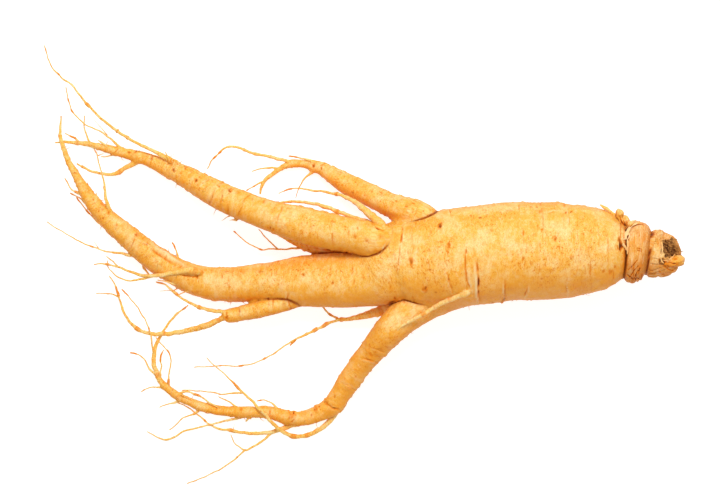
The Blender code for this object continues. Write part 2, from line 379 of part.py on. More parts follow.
def limb_object(name, stations, sides):
    rings = smooth_route(in_metres(stations), lambda radius: RING_STEP_LEAST + RING_STEP_SHARE * radius)
    return bpy.data.objects.new(name, swept_mesh(name, rings, sides, lumpy=name not in ("neck", "bud", "sprout")))


def rootlet_object(name, stations):
    table = in_metres(stations)
    sides = THICK_ROOTLET_SIDES if table[0, 3] > THICK_ROOTLET_RADIUS else ROOTLET_SIDES
    rings = smooth_route(table, lambda radius: ROOTLET_STEP)
    return bpy.data.objects.new(name, swept_mesh(name, rings, sides, lumpy=False))


def skin_material():
    material = bpy.data.materials.new("ginseng_skin")
    material.use_nodes = True
    shader = material.node_tree.nodes["Principled BSDF"]
    shader.inputs["Base Color"].default_value = SKIN_COLOUR
    shader.inputs["Roughness"].default_value = SKIN_ROUGHNESS
    return material


def apply_modifiers(target):
    """The object's mesh as its modifiers leave it, with the modifiers gone."""
    bpy.context.view_layer.update()
    graph = bpy.context.evaluated_depsgraph_get()
    finished = bpy.data.meshes.new_from_object(target.evaluated_get(graph))
    target.modifiers.clear()
    target.data = finished


def grow_together(trunk, grown):
    """One union of the trunk with every limb and rootlet, whose own objects are then removed."""
    union = trunk.modifiers.new("grown_together", "BOOLEAN")
    union.operation = "UNION"
    union.operand_type = "COLLECTION"
    union.collection = grown
    union.solver = "MANIFOLD"
    apply_modifiers(trunk)
    for item in list(grown.objects):
        bpy.data.objects.remove(item)
    bpy.data.collections.remove(grown)


def rest_on_floor(trunk):
    """Cuts away what lies below the floor, which leaves the small flat spots that the root rests on."""
    bpy.ops.mesh.primitive_cube_add(size=FLOOR_BLOCK, location=(0.0, 0.0, -FLOOR_BLOCK / 2))
    floor = bpy.context.active_object
    floor.name = "floor_cutter"
    cut = trunk.modifiers.new("flat_spots", "BOOLEAN")
    cut.operation = "DIFFERENCE"
    cut.object = floor
    cut.solver = "MANIFOLD"
    apply_modifiers(trunk)
    bpy.data.objects.remove(floor)


def main():
    clear_scene()
    trunk = limb_object("ginseng_root", TRUNK, TRUNK_SIDES)
    bpy.context.scene.collection.objects.link(trunk)
    grown = bpy.data.collections.new("limbs_and_rootlets")
    bpy.context.scene.collection.children.link(grown)
    for name, sides, stations in LIMBS:
        grown.objects.link(limb_object(name, stations, sides))
    for name, stations in ROOTLETS.items():
        grown.objects.link(rootlet_object(name, stations))
    grow_together(trunk, grown)
    rest_on_floor(trunk)
    trunk.data.materials.clear()
    trunk.data.materials.append(skin_material())
    trunk.data.shade_smooth()


main()
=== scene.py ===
"""The looks of a fresh ginseng root that lies on its side: skin, neck, buds, rootlets and hairs."""

import contextlib
import itertools
import math

import bmesh
import bpy
import numpy as np
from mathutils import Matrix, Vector


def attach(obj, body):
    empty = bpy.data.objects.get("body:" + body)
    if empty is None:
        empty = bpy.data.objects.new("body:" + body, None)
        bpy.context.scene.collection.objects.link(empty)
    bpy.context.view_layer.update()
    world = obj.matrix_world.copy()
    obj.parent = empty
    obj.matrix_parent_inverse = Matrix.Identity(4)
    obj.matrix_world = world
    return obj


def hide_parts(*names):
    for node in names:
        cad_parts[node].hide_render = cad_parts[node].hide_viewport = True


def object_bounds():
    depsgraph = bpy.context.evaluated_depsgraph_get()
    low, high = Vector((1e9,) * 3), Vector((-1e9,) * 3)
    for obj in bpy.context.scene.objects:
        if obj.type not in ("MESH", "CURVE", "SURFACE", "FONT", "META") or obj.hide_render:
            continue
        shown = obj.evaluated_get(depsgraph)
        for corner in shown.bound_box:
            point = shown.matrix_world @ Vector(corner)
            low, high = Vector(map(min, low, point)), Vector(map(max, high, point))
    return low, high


bl_info = {
    "name": "Ginseng Root",
    "version": (1, 0, 0),
    "blender": (4, 5, 0),
    "location": "View3D > Sidebar > Ginseng",
    "description": "Dresses a ginseng root with wrinkled skin, a scaly neck, rootlets and hairs",
    "category": "Object",
}

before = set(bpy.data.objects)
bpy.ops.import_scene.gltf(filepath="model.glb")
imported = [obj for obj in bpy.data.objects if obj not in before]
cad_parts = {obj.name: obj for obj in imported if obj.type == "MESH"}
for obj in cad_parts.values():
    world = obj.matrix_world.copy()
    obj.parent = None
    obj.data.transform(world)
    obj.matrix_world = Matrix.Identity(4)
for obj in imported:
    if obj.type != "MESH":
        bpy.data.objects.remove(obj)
CAD_BOX = [list(map(float, corner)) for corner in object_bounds()]
NODE = "ginseng_root"
BODY = "root"

# The stations below are drawn in millimetres for a root of this length. The frame gives the real one.
DRAWN_LENGTH = 213.41
PLACE = (CAD_BOX[1][0] - CAD_BOX[0][0]) / DRAWN_LENGTH

# The limbs: each station is (x, y, height, radius), in the drawn millimetres.
TRUNK = [
    (39.2, 1, 15.4, 5), (38.3, 0.95, 15.4, 7.9), (36.4, 0.9, 15.5, 10.2), (33.4, 0.9, 15.6, 12.3),
    (29, 0.9, 15.7, 13.9), (24, 0.9, 15.8, 14.9), (18, 0.6, 15.9, 15.8), (10, 0.6, 16, 16.3),
    (0, 0.5, 16.1, 16.5), (-10, -0.4, 16.1, 16.5), (-18, -1, 16, 16.2), (-25, -1.9, 15.7, 15.4),
    (-31, -2.8, 15.3, 14.3), (-34.4, -3.2, 15, 13.6), (-37.6, -3.9, 14.6, 12.6), (-40.6, -5, 14.3, 12.1),
    (-43.8, -6.4, 13.9, 11.4), (-47, -7.6, 13.6, 10.2), (-52, -8.6, 13.2, 9.4), (-60, -9, 12.2, 9),
    (-68, -9.4, 11, 8.5), (-76, -9.8, 9.6, 7.3), (-84, -10, 8, 6.3), (-92, -10.6, 6.5, 5.85),
    (-98, -10.4, 5.6, 5.55), (-104, -9.2, 5.1, 5.2), (-109, -7.5, 4.8, 4.85), (-114, -4.8, 4.8, 4.55),
    (-119, -1.5, 5.2, 4.35), (-124, 2.5, 5.8, 4), (-128.5, 6.5, 6.4, 3.6), (-133, 10.4, 6.9, 3.3),
    (-137.3, 14.6, 7.2, 2.85), (-141, 19.4, 7.3, 2.3), (-143.2, 23.3, 7.2, 1.75), (-145.5, 27.2, 6.9, 1.4),
    (-147.5, 31, 6.5, 1.05), (-149, 35, 6, 0.8), (-149.9, 38.5, 5.5, 0.6), (-150.1, 42, 4.8, 0.4),
    (-149.9, 46, 4.2, 0.3),
]
UPPER_LEG = [
    (-37.6, 4, 15.8, 4.6), (-40.8, 4.2, 16.4, 5.3), (-42.6, 4.2, 18.4, 5), (-43.8, 4.1, 20.4, 5.3),
    (-45.4, 4.2, 21.3, 5.65), (-47.4, 4.6, 21.4, 5.8), (-50, 5.2, 21.2, 5.8), (-53.6, 5.9, 20.9, 5.8),
    (-59, 7, 20.5, 6.05), (-65, 8.2, 19.7, 6.1), (-71, 9.8, 18.2, 5.95), (-77, 11.4, 16.2, 5.45),
    (-83, 13.4, 13.9, 5.05), (-89, 15.8, 11.6, 4.85), (-95, 18.4, 9.3, 4.75), (-100, 20.9, 7.4, 4.45),
    (-105, 23.8, 5.6, 3.9), (-110, 26.5, 4, 3.35), (-115, 28.6, 2.8, 2.85), (-120, 30.9, 2.3, 2.35),
    (-125, 32.4, 2.3, 2.05), (-130, 33.7, 2.5, 1.55), (-135, 35, 2.8, 1.2), (-140, 36.2, 3, 0.95),
    (-145, 37, 3, 0.65), (-149.5, 37, 2.8, 0.45), (-152.2, 36.8, 2.6, 0.3),
]
LOWER_ARM = [
    (-17, -7, 13.6, 7.6), (-23, -11.5, 13.8, 8), (-28.5, -15.8, 12.2, 6.9), (-33.7, -19.6, 15, 6.1),
    (-38.5, -24, 16.6, 5.35), (-43, -29, 13.8, 4.75), (-46.5, -33.3, 11.2, 4.2), (-50.2, -38, 8.5, 3.95),
    (-53.8, -43, 6.2, 3.8), (-57, -47.8, 4.4, 3.5), (-59.6, -51.2, 3.4, 3.35), (-63, -53.2, 2.85, 2.9),
    (-67, -54.8, 2.65, 2.65), (-71, -55.4, 2.6, 2.35), (-75, -54.9, 2.6, 2.35), (-80, -53.4, 2.5, 2.05),
    (-85, -53.2, 2.4, 1.8), (-90, -53.2, 2.3, 1.75), (-95, -53, 2.2, 1.75), (-100, -52.2, 2.2, 1.7),
    (-104, -51.2, 2.2, 1.6), (-107, -49.8, 2.3, 1.4), (-110, -48.5, 2.5, 1.3), (-113, -46.6, 2.7, 1.2),
    (-115.6, -44.3, 2.8, 1.1), (-117.5, -41.5, 2.8, 0.9), (-118.8, -38, 2.6, 0.75), (-119, -34, 2.2, 0.7),
    (-118.3, -31, 1.7, 0.6), (-117, -28.3, 1.2, 0.5), (-115, -24.7, 1.1, 0.4), (-111.5, -20.5, 1.4, 0.35),
    (-107.5, -17.4, 2, 0.3),
]
UPPER_ARM = [
    (-25, 9.6, 15.6, 2.8), (-27, 10.8, 16.7, 4), (-29.2, 11.8, 17.1, 4.55), (-31.5, 12.7, 16.7, 4.7),
    (-35, 14, 15.4, 4.4), (-40, 16, 13.2, 4), (-45, 18.3, 11, 3.85), (-50, 20.8, 8.6, 3.75),
    (-55, 23.4, 6.2, 3.45), (-60, 26.6, 3.8, 2.6), (-63.5, 28.5, 2.2, 2.05), (-65.6, 29.1, 2, 2),
    (-67, 29.5, 2.1, 1.45), (-69.5, 29.9, 2.2, 1.25), (-72, 29.9, 2.3, 1.2), (-75, 29.1, 2.3, 1),
    (-77.5, 27.8, 2.2, 0.85), (-80, 25.8, 2.2, 0.7), (-82, 24, 2.3, 0.62), (-83, 22, 2.4, 0.5),
    (-83.6, 19.8, 2.5, 0.5),
]
FOOT_BRANCH = [
    (-68, -12, 11, 2.6), (-72, -15.2, 11.8, 3.1), (-76, -16.9, 12, 2.9), (-80, -18, 11.6, 2.9),
    (-85, -19.1, 10.8, 2.8), (-90, -20.2, 9.8, 2.4), (-93.7, -21.1, 8.9, 2.2), (-95.2, -21.6, 8.5, 1.3),
    (-100, -23.7, 7.3, 1.1), (-105, -25.3, 5.9, 1), (-110, -26.4, 4.7, 0.85), (-115, -27, 3.8, 0.75),
    (-120, -26.9, 3.1, 0.65), (-124, -25.7, 2.7, 0.6), (-127, -23, 2.4, 0.5), (-129, -19.8, 2.2, 0.45),
    (-130, -17, 2, 0.38), (-130.7, -14.2, 1.9, 0.33), (-132.5, -10, 1.3, 0.3), (-134, -7.5, 0.9, 0.3),
]
HIDDEN_LIMB = [
    (-42, -1.2, 13.4, 4.4), (-47, 1.2, 13.8, 4.7), (-51.5, 1, 11.9, 4.2), (-56, 1, 10.8, 3.9),
    (-62, 1.6, 9.4, 3.2), (-67, 2.2, 7.9, 2.1), (-72, 4, 6.4, 1.3), (-77, 6.4, 5, 0.8), (-83, 10, 3.6, 0.5),
    (-88, 13.5, 2.6, 0.35),
]
# Name, stations, blend in its creases, blend on its smooth side, and the way that the smooth side faces.
LIMBS = [
    ("trunk", TRUNK, 0.0, 0.0, (0, 0, 1)),
    ("hidden_limb", HIDDEN_LIMB, 0.5, 0.5, (0, 0, 1)),
    ("upper_leg", UPPER_LEG, 0.35, 4.0, (0.3, 1.0, 0.35)),
    ("lower_arm", LOWER_ARM, 0.35, 5.0, (0.5, -0.9, 0.0)),
    ("upper_arm", UPPER_ARM, 0.4, 3.5, (-0.5, -1.0, -0.3)),
    ("foot_branch", FOOT_BRANCH, 0.3, 1.8, (0.6, -0.9, 0.0)),
]
# A limb thinner than this goes on as a rootlet, and each of the two ends sunk in the other.
THICK_ENOUGH = 1.05
THICK_END_SHARES = (0.86, 0.4)
THIN_START_SHARES = (0.7, 0.93)

# The rootlets: the limb that each is made with, its name and its stations. The solid has none thinner than
# the least radius, which is also that of a station without one.
SOLID_LEAST = 0.3
ROOTLETS = [
    ("fork", "armpit twig", [
        (-41.9, 8.2, 20.8, 1.2), (-43, 9.4, 21.4, 1.5), (-45, 11.3, 20.6, 1.45), (-47.3, 13.4, 18.4, 1.25),
        (-50, 15.5, 15.6, 1.05), (-52.5, 17.5, 14.4, 0.8), (-55, 18.8, 13.2, 0.6), (-58, 19.6, 12, 0.5),
        (-62, 20.3, 10.4, 0.42), (-66, 20.9, 9, 0.35), (-70.5, 21.7, 7.8), (-73, 21.5, 7), (-77, 19.8, 5.8),
    ]),
    ("fork", "leg strand", [
        (-42, 7, 15, 0.8), (-46, 9.8, 15.5, 0.75), (-50, 11.2, 15.8, 0.7), (-54, 12.5, 15.6, 0.65),
        (-57.5, 13.6, 15.2, 0.7), (-61, 15.2, 14.4, 0.7), (-64.5, 16.3, 13.5, 0.6), (-68, 16.9, 12.6, 0.55),
        (-72, 17.1, 11.6, 0.45), (-76, 16.9, 10.6, 0.35), (-80, 16.4, 9.4),
    ]),
    ("hand", "hand long", [
        (-71, 29.9, 2.5, 0.8), (-73.5, 30.5, 2.8, 0.65), (-76, 31.2, 3, 0.6), (-80, 32.1, 3.2, 0.5),
        (-84, 33, 3.3, 0.48), (-87, 33.8, 3.2, 0.45), (-90, 35, 3, 0.4), (-92.8, 35.7, 2.8, 0.4),
        (-95, 35.3, 2.5, 0.35), (-96.6, 34, 2.2), (-98.4, 32.3, 1.8), (-100, 30.2, 1.4),
        (-101.2, 28.2, 1.1),
    ]),
    ("hand", "hand side", [
        (-77, 28, 2.3, 0.4), (-79.5, 28.6, 2.6, 0.35), (-83, 28.2, 2.6), (-86.3, 27.4, 2.2),
    ]),
    ("hand", "hand low", [(-81.7, 24.2, 2.3, 0.4), (-84, 23.3, 2.4), (-88.2, 21, 1.8)]),
    ("hand", "wrist down", [
        (-65.4, 28, 2.4, 0.7), (-66.3, 26.8, 2.5, 0.5), (-68, 25.5, 2.3, 0.35), (-69.4, 23.8, 1.9),
        (-70.4, 21.8, 1.4),
    ]),
    ("hand", "wrist dry", [
        (-64.5, 30, 3.2, 0.5), (-67, 31.1, 3.5, 0.4), (-70, 31.8, 3.5), (-74, 32.4, 3.2),
    ]),
    ("fork", "hidden hair", [
        (-66.5, 2, 7.6, 0.6), (-69.5, 1.7, 6.8, 0.4), (-72.5, 1.5, 6, 0.35), (-75.5, 1.1, 5.4),
        (-79, 1.4, 4.8), (-83, 1.1, 4), (-85.5, 2.3, 3.4), (-89, 4.5, 2.6), (-92.2, 7.2, 1.8),
    ]),
    ("fork", "hidden fork", [(-77.5, 1.3, 5), (-80, 3.6, 4.8), (-83.8, 7.8, 3.6)]),
    ("foot", "foot side", [
        (-130.6, -14.8, 1.9), (-132.4, -14, 1.9), (-135, -13.6, 1.8), (-138.5, -13.6, 1.4),
    ]),
    ("foot", "foot upper", [
        (-93, -20.3, 9.6, 1), (-96, -19.6, 9.4, 0.7), (-99, -19.3, 9, 0.6), (-102, -18.6, 8.5, 0.55),
        (-105, -17.5, 7.9, 0.48), (-108, -16.1, 7.3, 0.4), (-111, -14, 6.6, 0.33), (-113.3, -12, 6, 0.38),
        (-115.5, -10.6, 5.5), (-118, -9.8, 5),
    ]),
    ("arm", "cross hair", [
        (-119, -34, 2.3, 0.35), (-119.5, -31, 3.6), (-119.9, -27.6, 4.6), (-121.3, -23.6, 4.4),
        (-123.4, -19.8, 3.6), (-126.2, -16, 2.6), (-129.9, -12, 1.4),
    ]),
    ("arm", "bow hair", [
        (-114, -45.2, 2.9, 0.4), (-114.1, -42.5, 3.8), (-113.7, -39, 4.1), (-113.1, -36, 4.1),
        (-113.7, -33.6, 4.1), (-115.6, -31.2, 4.3), (-118.4, -28.2, 4.9),
    ]),
    ("arm", "sling", [
        (-57.8, -51, 3, 1.2), (-58.3, -53.6, 2.2, 0.95), (-60.3, -56.5, 1.6, 0.88),
        (-63.8, -59.3, 1.3, 0.8), (-68, -61, 1.4, 0.75), (-72, -61.2, 1.8, 0.7), (-75, -60.2, 2.6, 0.65),
        (-77.2, -58.7, 3.8, 0.62), (-79.3, -56.8, 5, 0.58), (-81.2, -54.4, 5.7, 0.55),
        (-83.6, -51.9, 5.7, 0.5), (-86.5, -49.1, 5, 0.42), (-89, -46.8, 4.2, 0.36), (-92.5, -43.1, 3.4),
        (-96, -39.9, 2.8), (-99, -37.4, 2.2), (-101.3, -35, 1.6),
    ]),
    ("arm", "sling hair", [
        (-89.3, -46.7, 4.1, 0.35), (-93, -47, 3.6), (-97, -47.1, 3.2), (-100.5, -46.5, 3.1),
        (-104.5, -46.1, 3.4), (-109.5, -45.9, 3.6),
    ]),
    ("arm", "under fork", [
        (-69.5, -56, 2.4, 1.5), (-72, -57, 1.9, 1.3), (-74.5, -58.1, 1.4, 0.98), (-77.5, -59.3, 1.1, 0.78),
        (-80.5, -60.1, 0.9, 0.65), (-85, -60.4, 0.8, 0.6), (-90, -60, 0.75, 0.5), (-94, -59.4, 0.7, 0.42),
        (-97.7, -58.6, 0.7, 0.36), (-100.6, -57.2, 0.7, 0.32), (-103.2, -54.9, 0.8), (-106, -52.8, 0.9),
        (-109, -51, 0.9), (-111.5, -49.9, 0.9),
    ]),
    ("arm", "low loop", [
        (-79.3, -59.8, 0.9, 0.5), (-81, -61.5, 0.8, 0.42), (-83.2, -63.3, 0.8, 0.4),
        (-86, -64.9, 0.7, 0.34), (-88.5, -66, 0.7, 0.32), (-90.6, -65, 0.9), (-92.1, -63.5, 1.1),
        (-93.2, -60.8, 1.6),
    ]),
    ("arm", "low tail", [
        (-88.3, -65.8, 0.7, 0.32), (-90.8, -68, 0.7), (-93.2, -70, 0.7), (-96.5, -72.2, 0.6),
        (-100, -74, 0.6), (-103.5, -75.6, 0.5), (-108, -77.3, 0.5),
    ]),
    ("arm", "far tail", [
        (-88.5, -54, 1.8, 0.7), (-91, -55.3, 1.4, 0.42), (-94, -56, 1.3, 0.36), (-97, -56.7, 1.4, 0.32),
        (-100, -57.4, 1.7), (-103, -58.1, 1.4), (-107, -59, 1), (-110, -60.2, 0.8),
        (-112.3, -61.6, 0.7, 0.32), (-114.3, -62.5, 0.7, 0.38), (-116.2, -62.2, 0.8), (-118.5, -61.2, 0.8),
        (-121.5, -60, 0.7),
    ]),
    ("arm", "heel hair", [
        (-103.5, -52.2, 1.9, 0.45), (-105.2, -53.7, 2, 0.32), (-107.2, -54.4, 1.9), (-109, -55, 1.6),
        (-111, -57, 1.1), (-113.9, -59.4, 0.6),
    ]),
    ("arm", "toe 1", [
        (-109.6, -48.9, 2.4, 0.5), (-112, -50.1, 2, 0.35), (-113.8, -50.5, 1.7), (-117, -51.6, 0.9),
    ]),
    ("arm", "toe 2", [(-115.2, -45, 2.6, 0.4), (-118, -45, 2.4), (-120.7, -45.1, 2), (-123.3, -46.4, 1.4)]),
    ("arm", "toe 3", [
        (-118, -40.8, 2.7, 0.5), (-120.2, -39.1, 2.6, 0.36), (-121.4, -37, 2.5), (-122.4, -35.3, 2.3),
        (-124, -34.1, 2), (-127, -33.4, 1.4),
    ]),
    ("arm", "toe 4", [
        (-116.9, -42.2, 3, 0.5), (-116.8, -39.4, 3.6), (-116.3, -37.7, 3.7), (-116.9, -35.6, 3.8),
        (-115.8, -32.3, 3.2),
    ]),
    ("arm", "draped hair", [
        (-111, -47.2, 3.2, 0.4), (-108.2, -46.4, 4.2), (-105.2, -47.2, 4.2), (-102.5, -48.6, 4.1),
        (-100.5, -50, 3.9), (-97, -51.9, 3.6, 0.35),
    ]),
    ("arm", "shin hair", [(-91, -52.1, 3.2, 0.4), (-93, -50.2, 3.1), (-95.2, -49.1, 2.7), (-97.5, -48, 2)]),
    ("arm", "knee hair", [
        (-76.5, -53.8, 3.6, 0.6), (-78.3, -51.3, 3.8, 0.4), (-80.3, -49.9, 3.5), (-82, -49.2, 3.1),
        (-84.5, -49.5, 2.6),
    ]),
    ("arm", "ankle spur", [(-86.5, -54.2, 2.2, 0.5), (-88.3, -56.6, 1.6)]),
    ("fork", "gap root", [
        (-35, -14, 10.2, 2.4), (-39.5, -17.6, 9.4, 2.3), (-44, -19.6, 8.4, 1.75), (-49, -21, 7.4, 1.15),
        (-53.5, -22, 6.6, 0.72), (-57, -22.4, 6, 0.55), (-60.3, -23.3, 5.4, 0.45),
        (-63.8, -25.1, 4.8, 0.42), (-67.2, -26.8, 4.3, 0.4), (-70.5, -28.3, 3.9, 0.36), (-75, -31, 3.2),
        (-79.2, -33.9, 2.6), (-83.4, -36.2, 2.1), (-88, -37.5, 1.7), (-92.5, -37.9, 1.4),
        (-97.5, -37.7, 1.1), (-101.5, -38.1, 0.9), (-105.5, -38.3, 0.8),
    ]),
    ("fork", "gap link", [
        (-62.9, -16.6, 9.5, 0.45), (-61.5, -19.2, 7.6), (-59.3, -21, 6.6), (-56.8, -22.3, 6, 0.35),
    ]),
    ("fork", "gap spur", [(-71, -28.5, 3.8), (-73.3, -30.9, 3.6)]),
    ("fork", "torso root", [
        (-13.4, -11.6, 26.4, 1.2), (-14.7, -12.7, 27.6, 1.35), (-17, -14, 26.8, 0.95),
        (-22, -16.1, 24.8, 0.8), (-26, -18.3, 24, 0.68), (-30, -20.7, 24, 0.6), (-34, -22.9, 23, 0.5),
        (-37.2, -25, 21.8, 0.36), (-39, -27.6, 20.2), (-40.3, -30, 18.2), (-41.6, -33.2, 15.4),
    ]),
    ("upper_leg", "long whip", [
        (-111, 29.2, 5.2, 1.2), (-113.5, 31.1, 5.6, 0.95), (-116, 32.4, 5.8, 0.8), (-119, 34, 6, 0.6),
        (-122.5, 35.6, 6.4, 0.55), (-126, 37.5, 6.8, 0.5), (-130, 40, 7.1, 0.48), (-134, 43, 7.2, 0.45),
        (-138, 46.4, 7, 0.42), (-141, 49.5, 6.6, 0.4), (-143.5, 52.6, 6.2, 0.36), (-146, 55.8, 5.8, 0.34),
        (-149, 58.1, 5.2), (-151.6, 60.4, 4.6), (-153.6, 63.2, 4), (-154.8, 66.3, 3.4), (-155.6, 69.6, 2.8),
    ]),
    ("upper_leg", "thin whip", [
        (-129.5, 34.6, 3.2, 0.6), (-132, 36.8, 3.8, 0.4), (-134, 38.6, 4.1, 0.32), (-136.5, 40.4, 4.2),
        (-139, 41.6, 4), (-141.3, 42.7, 3.8), (-144, 44.8, 3.5), (-146, 47, 3.1), (-147.3, 50.3, 2.6),
        (-148.5, 55.5, 1.8),
    ]),
    ("upper_leg", "tip twig", [
        (-140.3, 36.4, 3.3, 0.5), (-141.1, 38.6, 3.3, 0.32), (-142.1, 41, 2.8), (-142.4, 43.5, 2.3),
        (-142.3, 45.8, 2),
    ]),
    ("upper_leg", "tip hair", [
        (-143.8, 36.9, 3.2, 0.4), (-145.2, 38.4, 3.3), (-147.2, 39.4, 2.9), (-148.6, 39.9, 2.5),
    ]),
    ("upper_leg", "tip spur", [(-133.6, 34.7, 3.4, 0.5), (-135.6, 36.4, 4.1, 0.35), (-137.6, 37.6, 4.4)]),
    ("upper_leg", "hoop", [
        (-124.5, 31, 2.4, 1.2), (-126.3, 29.6, 2, 0.9), (-128.2, 28.8, 1.8, 0.8), (-130.2, 27.5, 1.6, 0.68),
        (-132, 26.5, 1.5, 0.58), (-134.5, 26.2, 1.6, 0.52), (-137, 26.6, 1.9, 0.48),
        (-140, 27.3, 2.3, 0.42), (-142.5, 28.4, 3, 0.4), (-144.6, 29.8, 3.9, 0.4),
    ]),
    ("main_leg", "riser", [
        (-133.2, 13, 8.5, 1), (-134.1, 16, 9.6, 0.65), (-134.9, 18.6, 9.4, 0.5), (-135.1, 21.2, 8.7, 0.42),
        (-135.6, 24, 7.6, 0.32), (-136.3, 27, 6.2), (-137.1, 30, 4.8), (-138.3, 33.6, 3),
        (-139.2, 35.4, 2.2),
    ]),
    ("upper_leg", "short link", [(-131.8, 33.2, 2, 0.4), (-134, 32.5, 1.8), (-136.6, 32.1, 2)]),
    ("main_leg", "back hair 1", [
        (-141.6, 18.9, 7, 0.6), (-144, 20, 6.8, 0.35), (-146.2, 21, 6.4), (-147.6, 23, 6),
        (-148.6, 25.1, 5.4),
    ]),
    ("main_leg", "back hair 2", [
        (-138.9, 15.4, 6.2, 0.6), (-141.2, 16.4, 5.6, 0.4), (-143.2, 17.8, 5), (-147, 20.2, 3.8),
    ]),
    ("main_leg", "back hair 3", [
        (-133.6, 9.2, 5, 0.5), (-136.5, 9.6, 4.2, 0.35), (-139, 11.6, 3.8), (-141.2, 13.8, 3.5),
        (-143.2, 16.2, 3), (-145, 18.6, 2.4),
    ]),
    ("main_leg", "side whip", [
        (-124.6, 0.4, 5.5, 1.2), (-127, -0.7, 5.3, 0.7), (-129.5, -0.3, 4.9, 0.42), (-133, 0.1, 4.4, 0.32),
        (-136.5, 1, 3.8), (-140, 2.2, 3.3), (-143, 3.5, 3), (-147, 5.6, 2.4), (-151, 8, 1.8),
        (-154.8, 10.4, 1.2),
    ]),
    ("main_leg", "rider", [
        (-103.6, -6.3, 10.3, 1.15), (-105.6, -6, 10.8, 1.3), (-108.4, -5.9, 10.5, 1),
        (-111, -6.2, 9.9, 0.85), (-115, -7, 8.9, 0.72), (-118.5, -7.6, 8, 0.68), (-121.5, -7.6, 7.2, 0.55),
        (-124, -7.2, 6.6, 0.5), (-127, -6.1, 5.8, 0.42), (-130, -5, 5, 0.36), (-132.7, -4.2, 4.3),
        (-136.5, -3.6, 3.4, 0.34), (-139.2, -3.8, 2.8),
    ]),
    ("main_leg", "rider fork", [
        (-120, -7.7, 7.4, 0.6), (-122, -8.5, 6.6, 0.45), (-124.5, -9, 5.8, 0.35), (-127.2, -9.3, 5),
        (-130, -8.5, 4.2), (-132.4, -6.9, 3.4), (-134.2, -5.1, 2.6), (-134.6, -2.6, 1.8),
    ]),
    ("main_leg", "rider hair", [(-130.6, -4.9, 4.8), (-133, -2.5, 4.4), (-134.8, -1, 3.8)]),
    ("main_leg", "calf hair 1", [
        (-99.6, -11.2, 9.6, 0.5), (-103, -12.2, 9, 0.35), (-106, -12.5, 8), (-110.6, -13.8, 5.8),
    ]),
    ("main_leg", "calf hair 2", [
        (-108, -10.2, 7, 0.5), (-111, -10.4, 7.3, 0.35), (-115, -9.6, 7), (-117.6, -9.1, 6.5),
    ]),
    ("main_leg", "calf hair 3", [
        (-121.4, -2.8, 4.6, 0.8), (-122.4, -4.6, 4, 0.5), (-121.4, -6.2, 3.4, 0.35), (-119.6, -7.8, 2.8),
    ]),
    ("main_leg", "stray hair", [(-110.3, -3.6, 6, 0.4), (-111.2, 0.5, 6.2), (-112.7, 3.6, 5.2)]),
    ("upper_leg", "whip hair 1", [
        (-134.4, 39.3, 4.1, 0.2), (-137, 42.3, 3.4, 0.14), (-139, 44.6, 2.6, 0.1),
    ]),
    ("upper_leg", "whip hair 2", [(-145.2, 55.2, 5.7, 0.2), (-146.4, 56.9, 4.6, 0.1)]),
    ("fork", "twig hair", [(-70.5, 21.6, 7.7, 0.2), (-71, 20, 6.6, 0.14), (-71.5, 18.4, 5.4, 0.1)]),
    ("arm", "under hair", [(-92.6, -59.8, 0.7, 0.2), (-92, -57.3, 1, 0.12)]),
    ("main_leg", "side hair", [(-137.4, 1.5, 3.6, 0.2), (-138.9, 3.7, 3, 0.1)]),
    ("main_leg", "calf hair 4", [(-108.5, -9.6, 5, 0.4), (-112, -12.4, 4.4, 0.2), (-117, -12.6, 3, 0.12)]),
    ("arm", "heel stub", [(-112, -47.3, 2.6), (-109.4, -47.5, 4.4, 0.25), (-106.4, -49.1, 4.2, 0.2)]),
    ("upper_leg", "hoop hair", [(-137.8, 32.5, 2.2, 0.2), (-135.8, 33.3, 2.4, 0.12)]),
    ("main_leg", "thorn 1", [(-139.9, 20.6, 7.6, 0.5), (-140.6, 22, 8, 0.35), (-140.9, 23.5, 8.2, 0.1)]),
    ("main_leg", "thorn 2", [(-136.8, 17.2, 7.8, 0.5), (-137.8, 19, 8.4, 0.35), (-138.2, 20.5, 8.6, 0.1)]),
    ("upper_leg", "thorn 3", [(-113.4, 30.6, 6.2, 0.45), (-114.6, 32.9, 6.9), (-115.2, 34, 7, 0.1)]),
    ("upper_leg", "shin thorn 1", [
        (-91, 10.9, 11.2, 0.4), (-92.8, 11, 10.2, 0.2), (-93.4, 10.8, 9.8, 0.1),
    ]),
    ("upper_leg", "shin thorn 2", [(-92.6, 12.6, 9.4, 0.35), (-94.4, 12, 8.4, 0.2), (-96.2, 10.7, 7, 0.1)]),
    ("fork", "neck strand", [
        (38.2, 8, 20.6, 0.5), (36.7, 10.2, 19.6, 0.5), (35.1, 12, 18.8, 0.55), (33.4, 13.5, 18.2, 0.5),
        (31.6, 14.9, 17.8, 0.6), (29.9, 16, 17.4, 0.4),
    ]),
]
# The limbs whose thin tails are made with the rootlets.
TAILS = {
    "main_leg": TRUNK, "upper_leg": UPPER_LEG, "arm": LOWER_ARM, "hand": UPPER_ARM, "foot": FOOT_BRANCH,
    "fork": HIDDEN_LIMB,
}
# A rootlet thins to this share of its radius at the tip, over the last part of its length at least.
TIP_SHARE = 0.55
BLUNT_SHARE = 0.12
ROOTLET_STEP = 0.6
KINK_LENGTH = 3.0
KNOT_LENGTH = 1.0
KNOB_LENGTH = 1.7
KNOB_SIZE = 0.55
# The flared foot of a rootlet, as shares of its first three stations, and its blend with the limb.
FOOT_STEP = 0.5
FOOT_RING_STEP = 0.6
FOOT_LENGTH = 0.7
FOOT_FLARE = 1.15
FOOT_THINNING = 0.5
FOOT_BLEND = 0.7

# How the skin is worked out: distance between its corners, between the rings of a limb, how far out a limb
# matters, how many points at once, and how often the corners are moved onto it before and after splitting.
GRAIN = 0.6
RING_STEP = 1.1
REACH = 9.0
CHUNK = 16384
MOVES = 3
FINE_MOVES = 2
ROUGH_SIDES = 16
